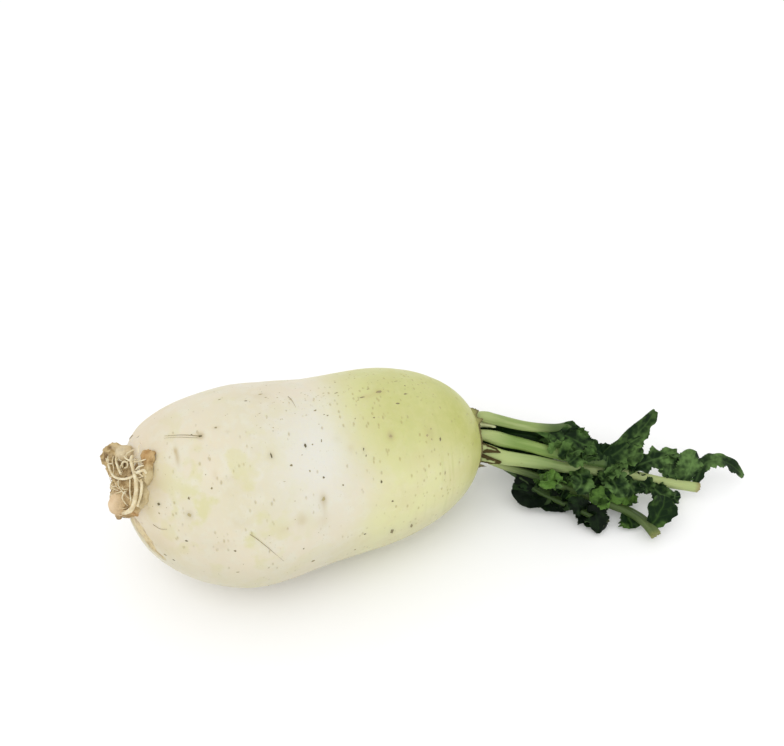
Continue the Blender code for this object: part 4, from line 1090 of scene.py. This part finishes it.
# Its torn edge, with two pointed scales and a deep notch between them: the turn round the stalk
# and the reach along it in mm.
TORN_BASE_EDGE = ((-100, 2.5), (-86, 10.5), (-65, 13.0), (-37, 2.0), (-17, 15.3), (2, 14.5),
                  (21, 10.8), (28, 4.5))
TURN_LENGTH = 0.12          # millimetres round it for each degree, for its brown edge

HEART_ROUTE = ((88, 9.6, 45.8), (94, 9.2, 46.4), (98, 8.2, 46.7), (101.5, 6.5, 46.6),
               (104.5, 4.8, 45.9))


def make_fringe():
    """The dry fringe of old sheaths: two thin ragged skirts that stand round the crown."""
    verts, faces, tips = [], [], []
    for inset, tallest, seed, scales in SKIRTS:
        first = len(verts)
        for k in range(FRINGE_STATIONS):
            turn = 360 * k / FRINGE_STATIONS
            angle = math.radians(turn)
            ragged = noise.noise(Vector((math.cos(angle), math.sin(angle), seed)) * 5.0)
            jag = noise.noise(Vector((math.cos(angle), math.sin(angle), seed)) * 21.0)
            tall = tallest * max(0.12, 0.55 + 0.7 * ragged + 0.55 * jag)
            tall *= 1 + 2.2 * smoothstep(80, 120, abs(turn_gap(turn, 145)))
            for at, height, wide in scales:
                tall += height * max(0.0, 1 - abs(turn_gap(turn, at)) / wide)
            bulge = max(0.0, math.cos(angle - CROWN_RING_BULGE_AT))**2
            radius = CROWN_RING_RADIUS + CROWN_RING_BULGE * bulge - inset
            sunk = -skin_drop(radius) - FRINGE_SUNK
            lean = 0.25 + 0.45 * noise.noise(Vector((math.cos(angle), math.sin(angle), 3.0)) * 9.0)
            for i in range(FRINGE_STEPS):
                t = i / (FRINGE_STEPS - 1)
                along = sunk + (tall * MM + FRINGE_SUNK) * t
                for side in (1, -1):
                    out = radius + (FRINGE_HALF_THICKNESS * (1 - 0.6 * t) * side
                                    + lean * tall * MM * t * t * 0.5
                                    + 0.0002 * jag * t)
                    verts.append(at_crown(along, out * math.cos(angle), out * math.sin(angle)))
                    tips.append(max(t * t, 1 - abs(turn_gap(turn, 203)) / 14))
        row = FRINGE_STEPS * 2
        loop = list(range(0, row, 2)) + list(range(row - 1, 0, -2))
        for k in range(FRINGE_STATIONS):
            n = (k + 1) % FRINGE_STATIONS
            for a, b in zip(loop, loop[1:] + loop[:1]):
                faces.append((first + k * row + a, first + k * row + b,
                              first + n * row + b, first + n * row + a))
    obj = new_piece("crown_fringe", verts, faces, [fringe_material()], "dry_sheath",
                    {"tip": tips}, None)
    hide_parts("crown_scar_ring")


def segment_gap(place, a, b):
    """How far a place lies from the line between a and b."""
    way = b - a
    share = np.clip(np.dot(place - a, way) / np.dot(way, way), 0, 1)
    return float(np.linalg.norm(place - a - way * share))


def make_torn_base():
    """The torn leaf base round the long leaf's foot, with a brown zigzag edge."""
    leaf = LEAVES["leaf_long"]
    path = smooth_path(leaf.route, 60) * MM
    stations, spans = TORN_BASE_STATIONS, TORN_BASE_SIDES
    start, end = (path[i] for i in TORN_BASE_SPAN)
    draw = random.Random(11)
    nicks = [draw.uniform(-0.3, 0.3) for _ in range(spans + 1)]
    turns, reaches = np.array(TORN_BASE_EDGE).T
    flat = np.stack([turns * TURN_LENGTH, reaches], 1)
    verts, dry = [], []
    tangent = unit(end - start)
    outer_way = -unit(np.array(leaf.inner) - tangent * np.dot(leaf.inner, tangent))
    wide_way = np.cross(tangent, outer_way)
    for i in range(stations):
        share = i / (stations - 1)
        for layer in (0, 1):
            radius = TORN_BASE_RADII[layer] - (0.0002, 0.0010)[layer] * share
            for k in range(spans + 1):
                degrees = turns[0] + (turns[-1] - turns[0]) * k / spans
                turn = math.radians(degrees)
                reach = (np.interp(degrees, turns, reaches) + nicks[k]) * share
                ridge = 0.00012 * math.cos(16 * turn) if layer else 0
                verts.append(start + tangent * reach * MM + (radius + ridge) * (
                    math.cos(turn) * outer_way * 0.88 + math.sin(turn) * wide_way))
                inward = min(segment_gap((degrees * TURN_LENGTH, reach), a, b)
                             for a, b in zip(flat, flat[1:]))
                wide = 2.1 + 1.6 * noise.noise(Vector((degrees * 0.09, reach * 0.5, 4.0)))
                dry.append(float(smoothstep(wide + 0.5, wide - 0.5, inward)))

    def corner(i, layer, k):
        return (i * 2 + layer) * (spans + 1) + k

    faces = []
    for i in range(stations - 1):
        for k in range(spans):
            faces += [(corner(i, layer, k), corner(i, layer, k + 1),
                       corner(i + 1, layer, k + 1), corner(i + 1, layer, k))
                      for layer in (0, 1)]
        faces += [(corner(i, 0, k), corner(i + 1, 0, k), corner(i + 1, 1, k), corner(i, 1, k))
                  for k in (0, spans)]
    faces += [(corner(i, 0, k), corner(i, 1, k), corner(i, 1, k + 1), corner(i, 0, k + 1))
              for i in (0, stations - 1) for k in range(spans)]
    obj = new_piece("torn_base", verts, faces, [torn_material()], "torn_sheath", {"dry": dry})
    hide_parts("torn_leaf_base")


def make_heart():
    path = smooth_path([Vector(p) * MM for p in HEART_ROUTE], 30)
    radii = [(3.0 - 2.2 * k / 29) * MM * (1 + 0.05 * math.sin(k)) for k in range(30)]
    radii[-3:] = [r * f for r, f in zip(radii[-3:], (0.95, 0.8, 0.5))]
    obj = new_piece("heart_leaf_fine", *tube_parts(path, radii, 20), [young_material()],
                    "young_leaf")
    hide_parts("heart_leaf")


# The leaves


STALK_STATIONS, STALK_SIDES = 90, 36
STALK_RIBS, STALK_RIB_HEIGHT = 9, 0.022    # the height is a share of the half width
BLADE_ROWS, BLADE_COLUMNS = 58, 29
BLADE_HALF_THICKNESS = 0.16                # millimetres
VEIN_THICKNESS = 0.28                      # how much a vein adds to it below
VEIN_SPACING = 4.5                         # millimetres between side veins


def fine_stalk(leaf, seed):
    """A stalk with a grooved inner side, fine ribs and a rough cut end."""
    stations, sides = STALK_STATIONS, STALK_SIDES
    path = smooth_path(leaf.route, stations) * MM
    tangents = np.gradient(path, axis=0)
    draw = random.Random(seed)
    phase = draw.uniform(0, 6.3)
    verts, values = [], []
    for i, (place, tangent) in enumerate(zip(path, tangents)):
        tangent = unit(tangent)
        outer_way = -unit(np.array(leaf.inner) - tangent * np.dot(leaf.inner, tangent))
        wide_way = np.cross(tangent, outer_way)
        share = i / (stations - 1)
        half = stalk_half_width(leaf, share)
        half *= 1 + 0.035 * noise.noise(Vector(place) * 90.0)
        for j in range(sides):
            turn = 2 * math.pi * j / sides
            rib = 1 + STALK_RIB_HEIGHT * math.cos(STALK_RIBS * turn + phase)
            depth = math.sin(turn) * 0.92
            if depth < 0:
                lift = abs(math.sin(turn))
                depth = -(0.78 * lift - 0.34 * lift**4)
            ragged = tangent * draw.uniform(-0.5, 0.4) * MM if i == stations - 1 else 0
            verts.append(place + ragged + half * rib * (
                math.cos(turn) * wide_way + depth * outer_way))
            values.append((share, j / sides))
    # Two smaller rings and a middle close the cut end, a little sunk.
    last, way = (stations - 1) * sides, unit(tangents[-1])
    for ring in (0.72, 0.4):
        centre = path[-1] - way * (1 - ring) * MM
        for j in range(sides):
            place = centre + (np.array(verts[last + j]) - path[-1]) * ring
            verts.append(place + way * draw.uniform(-0.3, 0.3) * MM)
            values.append((1.05, j / sides))
    verts += [path[0], path[-1] - way * 0.8 * MM]
    values += [(0, 0), (1.05, 0)]
    return verts, closed_faces(stations + 2, sides), values


def teeth_profile(lobe, draw):
    """The coarse teeth of both edges, row by row, as the solids have them."""
    rows = lobe.notches
    left, right = [0.0] * (rows + 1), [0.0] * (rows + 1)
    for i in range(1, rows):
        sign = 1 if i % 2 else -1
        left[i] = lobe.teeth * draw.uniform(0.5, 1.3) * sign * (1 - lobe.even[0])
        right[i] = lobe.teeth * draw.uniform(0.5, 1.3) * sign * (1 - lobe.even[1])
    return left, right


def edge_reach(profile, t, seed, jag):
    """How far the edge stands out: the coarse teeth with small pointed ones on them."""
    x = t * (len(profile) - 1)
    i = min(len(profile) - 2, int(x))
    f = float(smoothstep(0, 1, x - i))
    coarse = profile[i] + (profile[i + 1] - profile[i]) * f
    uneven = noise.noise(Vector((x * 0.55, seed * 7, 0.5)))
    small = (x * 1.45 + seed + 0.35 * math.sin(3 * x + seed * 6)) % 1.0
    tooth = (small / 0.72)**1.5 if small < 0.72 else (1 - small) / 0.28
    depth = jag * (1.1 + 1.6 * uneven)
    return (1 + 1.2 * coarse + 1.3 * jag * uneven
            + depth * (tooth - 0.4) * min(1, 4 * t) * min(1, 5 * (1 - t) + 0.3))


def blade_faces():
    """Quads over the upper and the lower layer of a blade and round its edge."""
    layer = BLADE_ROWS * BLADE_COLUMNS
    faces = []
    for i in range(BLADE_ROWS - 1):
        for j in range(BLADE_COLUMNS - 1):
            a = i * BLADE_COLUMNS + j
            b, c, d = a + 1, a + 1 + BLADE_COLUMNS, a + BLADE_COLUMNS
            faces += [(a, b, c, d), (layer + a, layer + d, layer + c, layer + b)]
    grid = np.arange(layer).reshape(BLADE_ROWS, BLADE_COLUMNS)
    border = [*grid[0], *grid[1:, -1], *grid[-1, -2::-1], *grid[-2:0:-1, 0]]
    border = [int(i) for i in border]
    return faces + [(a, a + layer, b + layer, b)
                    for a, b in zip(border, border[1:] + border[:1])]


def fine_blade(lobe, base, seed):
    """A thin blade over the same middle line and outline as its solid."""
    draw = random.Random(seed)
    phases = (draw.uniform(0, 6.3), draw.uniform(0, 6.3))
    edges = teeth_profile(lobe, draw)
    frills = (draw.uniform(0, 6.3), draw.uniform(0, 6.3))
    start = draw.uniform(0, 1)
    twist = math.radians(lobe.twist + draw.uniform(-18, 18))
    jitter = Vector((draw.uniform(0, 9), 0, 0))
    mid, tip = np.array(lobe.mid, float) * MM, np.array(lobe.tip, float) * MM
    steer = 2 * mid - (base + tip) / 2
    face = unit(lobe.face)
    length = np.linalg.norm(tip - base) / MM
    spacing = length / max(3, round(length / VEIN_SPACING))
    skin = min(1.0, 0.4 + 0.6 * lobe.crinkle)
    places, veins, tone_and_painted_light = [], [], []
    for i in range(BLADE_ROWS):
        t = i / (BLADE_ROWS - 1)
        centre = (1 - t)**2 * base + 2 * t * (1 - t) * steer + t**2 * tip
        tangent = unit(2 * (1 - t) * (steer - base) + 2 * t * (tip - steer))
        side = unit(np.cross(tangent, face))
        normal = np.cross(side, tangent)
        turned = twist * (t - 0.25)
        side, normal = (side * math.cos(turned) + normal * math.sin(turned),
                        normal * math.cos(turned) - side * math.sin(turned))
        centre = centre + side * 0.9 * MM * t * (1 - t) * 4 * noise.noise(
            Vector((3 * t, 0, 0)) + jitter)
        half = lobe.width / 2 * lobe_outline(t, lobe.widest, lobe.pointed)
        for j in range(BLADE_COLUMNS):
            v = 2 * j / (BLADE_COLUMNS - 1) - 1
            which = 0 if v < 0 else 1
            jag = min(0.2, 1.5 * lobe.teeth) * (1 - lobe.even[which])
            edge = edge_reach(edges[which], t, start + 0.5 * which, jag)
            reach = half * (1 + (edge - 1) * v * v * abs(v)**0.5)
            ruffle = 2 * math.pi * lobe.waves
            wave = lobe.wave * v * v * math.sin(ruffle * t + phases[which])
            frill = 0.8 * lobe.crinkle * abs(v)**3 * math.sin(ruffle * 3.1 * t + frills[which])
            rise = lobe.cup * v * v * (half / (lobe.width / 2)) + lobe.fold * abs(v) * half
            rise += (wave + frill) * min(1.0, 3 * t)
            flat = centre + side * v * reach * MM
            swell = noise.noise(Vector(flat) * 210.0 + jitter)
            crinkle = noise.noise(Vector(flat) * 460.0 + jitter)
            grow = min(1.0, 0.3 + 2.5 * t) * min(1.0, 0.4 + half / 6)
            rise += (0.95 * swell + 0.40 * crinkle) * grow * lobe.crinkle
            # Side veins slant forward from the middle rib.
            far = abs(v) * half
            shift = (t * length - 0.8 * far) % spacing
            off = min(shift, spacing - shift)
            vein = math.exp(-(off / 0.3)**2) * (1 - 0.75 * abs(v)) * (1 if far > 0.3 else 0)
            strength = max(math.exp(-(far / (0.8 - 0.5 * t))**2), 0.45 * vein)
            puff = 0.35 * (1 - strength) * math.sin(math.pi * min(1, abs(v) * 1.05))
            places.append(flat + normal * (rise + puff) * MM)
            veins.append(strength * skin)
            # Raised parts and the edges get a lighter tone and hollows a darker one: painted light
            # and shade.
            tone_and_painted_light.append(lobe.tone + (0.55 * swell + 0.4 * crinkle) * (0.4 + 0.6 * lobe.crinkle)
                         + 0.2 * v * v - 0.1)
    rows = np.array(places).reshape(BLADE_ROWS, BLADE_COLUMNS, 3)
    normals = np.cross(np.gradient(rows, axis=0), np.gradient(rows, axis=1))
    normals /= np.maximum(np.linalg.norm(normals, axis=2, keepdims=True), 1e-12)
    # The upper side is the one that looks to the lobe's face, whichever way the rows run.
    if np.mean(normals.reshape(-1, 3) @ face) < 0:
        normals = -normals
    below = BLADE_HALF_THICKNESS + VEIN_THICKNESS * np.array(veins).reshape(rows.shape[:2])
    upper = rows + normals * BLADE_HALF_THICKNESS * MM
    lower = rows - normals * (below[..., None] * MM)
    verts = list(upper.reshape(-1, 3)) + list(lower.reshape(-1, 3))
    under = [0.0] * len(places) + [1.0] * len(places)
    return verts, blade_faces(), under, veins * 2, tone_and_painted_light * 2


def make_leaf(name, leaf):
    path = smooth_path(leaf.route, 101) * MM
    verts, faces, places = fine_stalk(leaf, name)
    stalk_size, first_blade = len(verts), len(faces)
    shares = [share for share, _ in places]
    under, vein, tone = [0.0] * stalk_size, [0.0] * stalk_size, [0.0] * stalk_size
    for k, lobe in enumerate(leaf.lobes):
        middle = path[round(lobe.at * 100)]
        way = unit(np.array(lobe.mid, float) * MM - middle)
        start = middle + way * 0.6 * stalk_half_width(leaf, lobe.at)
        blade = fine_blade(lobe, start, name + str(k))
        shift = len(verts)
        verts += blade[0]
        faces += [tuple(i + shift for i in face) for face in blade[1]]
        under += blade[2]
        vein += blade[3]
        tone += blade[4]
    blank = [0.0] * (len(verts) - stalk_size)
    pale = [leaf.pale_end * smoothstep(leaf.pale_from, leaf.pale_from + 0.08, s) for s in shares]
    values = {
        "root_end": [max(1 - smoothstep(0.08, 0.34, s), p) for s, p in zip(shares, pale)] + blank,
        "cut": [smoothstep(0.975, 1.0, s) for s in shares] + blank,
        # painted shade on the stalk under its blades
        "shade": [leaf.shade * smoothstep(leaf.shade_from, leaf.shade_from + 0.25, s)
                  for s in shares] + blank,
        "under": under, "vein": vein, "tone": tone,
    }
    mats = [stalk_material(name + "_stalk", leaf.pale, leaf.green, leaf.cut),
            blade_material(name + "_blade", leaf.dark, leaf.light)]
    obj = new_piece(name + "_fine", verts, faces, mats, name + "_green", values, 60)
    for poly in obj.data.polygons:
        poly.material_index = 0 if poly.index < first_blade else 1
    layer = obj.data.uv_layers.new(name="skin")
    uvs = [(share * 0.15, turn * 0.03) for share, turn in places] + [(0.0, 0.0)] * len(blank)
    for loop in obj.data.loops:
        layer.data[loop.index].uv = uvs[loop.vertex_index]
    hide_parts(name)


# The stage


LIGHTS = (("key", (-0.5, -0.5, 1.3), 1.0, 4.0), ("fill", (0.9, -0.9, 0.8), 0.8, 0.8))
LIGHTS_AIM = Vector((0.03, 0, 0.03))
CAMERA_PLACE = (-0.04232, -0.29866, 0.39668)
CAMERA_TURN = (math.radians(47), 0, math.radians(-16))
CAMERA_LENS, CAMERA_SENSOR = 40, 36     # millimetres


def make_stage():
    scene = bpy.context.scene
    bpy.ops.mesh.primitive_plane_add(size=8, location=(0, 0, -0.0003))
    floor = bpy.context.object
    floor.name = "floor"
    paper = Shader("pale_floor", roughness=0.9, specular=0.0)
    paper.colour(paper.mix(paper.noise(2), (0.965, 0.965, 0.965), (0.97, 0.97, 0.97)))
    floor.data.materials.append(paper.mat)
    world = bpy.data.worlds.new("studio")
    scene.world = world
    world.use_nodes = True
    sky = world.node_tree.nodes["Background"]
    sky.inputs["Color"].default_value = (1, 1, 1, 1)
    sky.inputs["Strength"].default_value = 1.0
    for name, place, size, power in LIGHTS:
        light = bpy.data.lights.new(name, "AREA")
        light.size = size
        light.energy = power
        lamp = bpy.data.objects.new(name, light)
        lamp.location = place
        lamp.rotation_mode = "QUATERNION"
        lamp.rotation_quaternion = (LIGHTS_AIM - Vector(place)).to_track_quat("-Z", "Y")
        scene.collection.objects.link(lamp)
    camera = bpy.data.objects.new("camera", bpy.data.cameras.new("camera"))
    camera.data.lens = CAMERA_LENS
    camera.data.sensor_width = CAMERA_SENSOR
    camera.data.clip_start = 0.01
    camera.location = CAMERA_PLACE
    camera.rotation_euler = CAMERA_TURN
    scene.collection.objects.link(camera)
    scene.camera = camera
    scene.view_settings.view_transform = "Standard"
    scene.view_settings.look = "None"


make_stage()
make_skin()
make_marks()
make_hairs()
make_tail()
make_rootlets()
make_fringe()
make_torn_base()
make_heart()
for leaf_name, leaf_shape in LEAVES.items():
    make_leaf(leaf_name, leaf_shape)
for leftover in [o for o in bpy.data.materials if o.users == 0]:
    bpy.data.materials.remove(leftover)
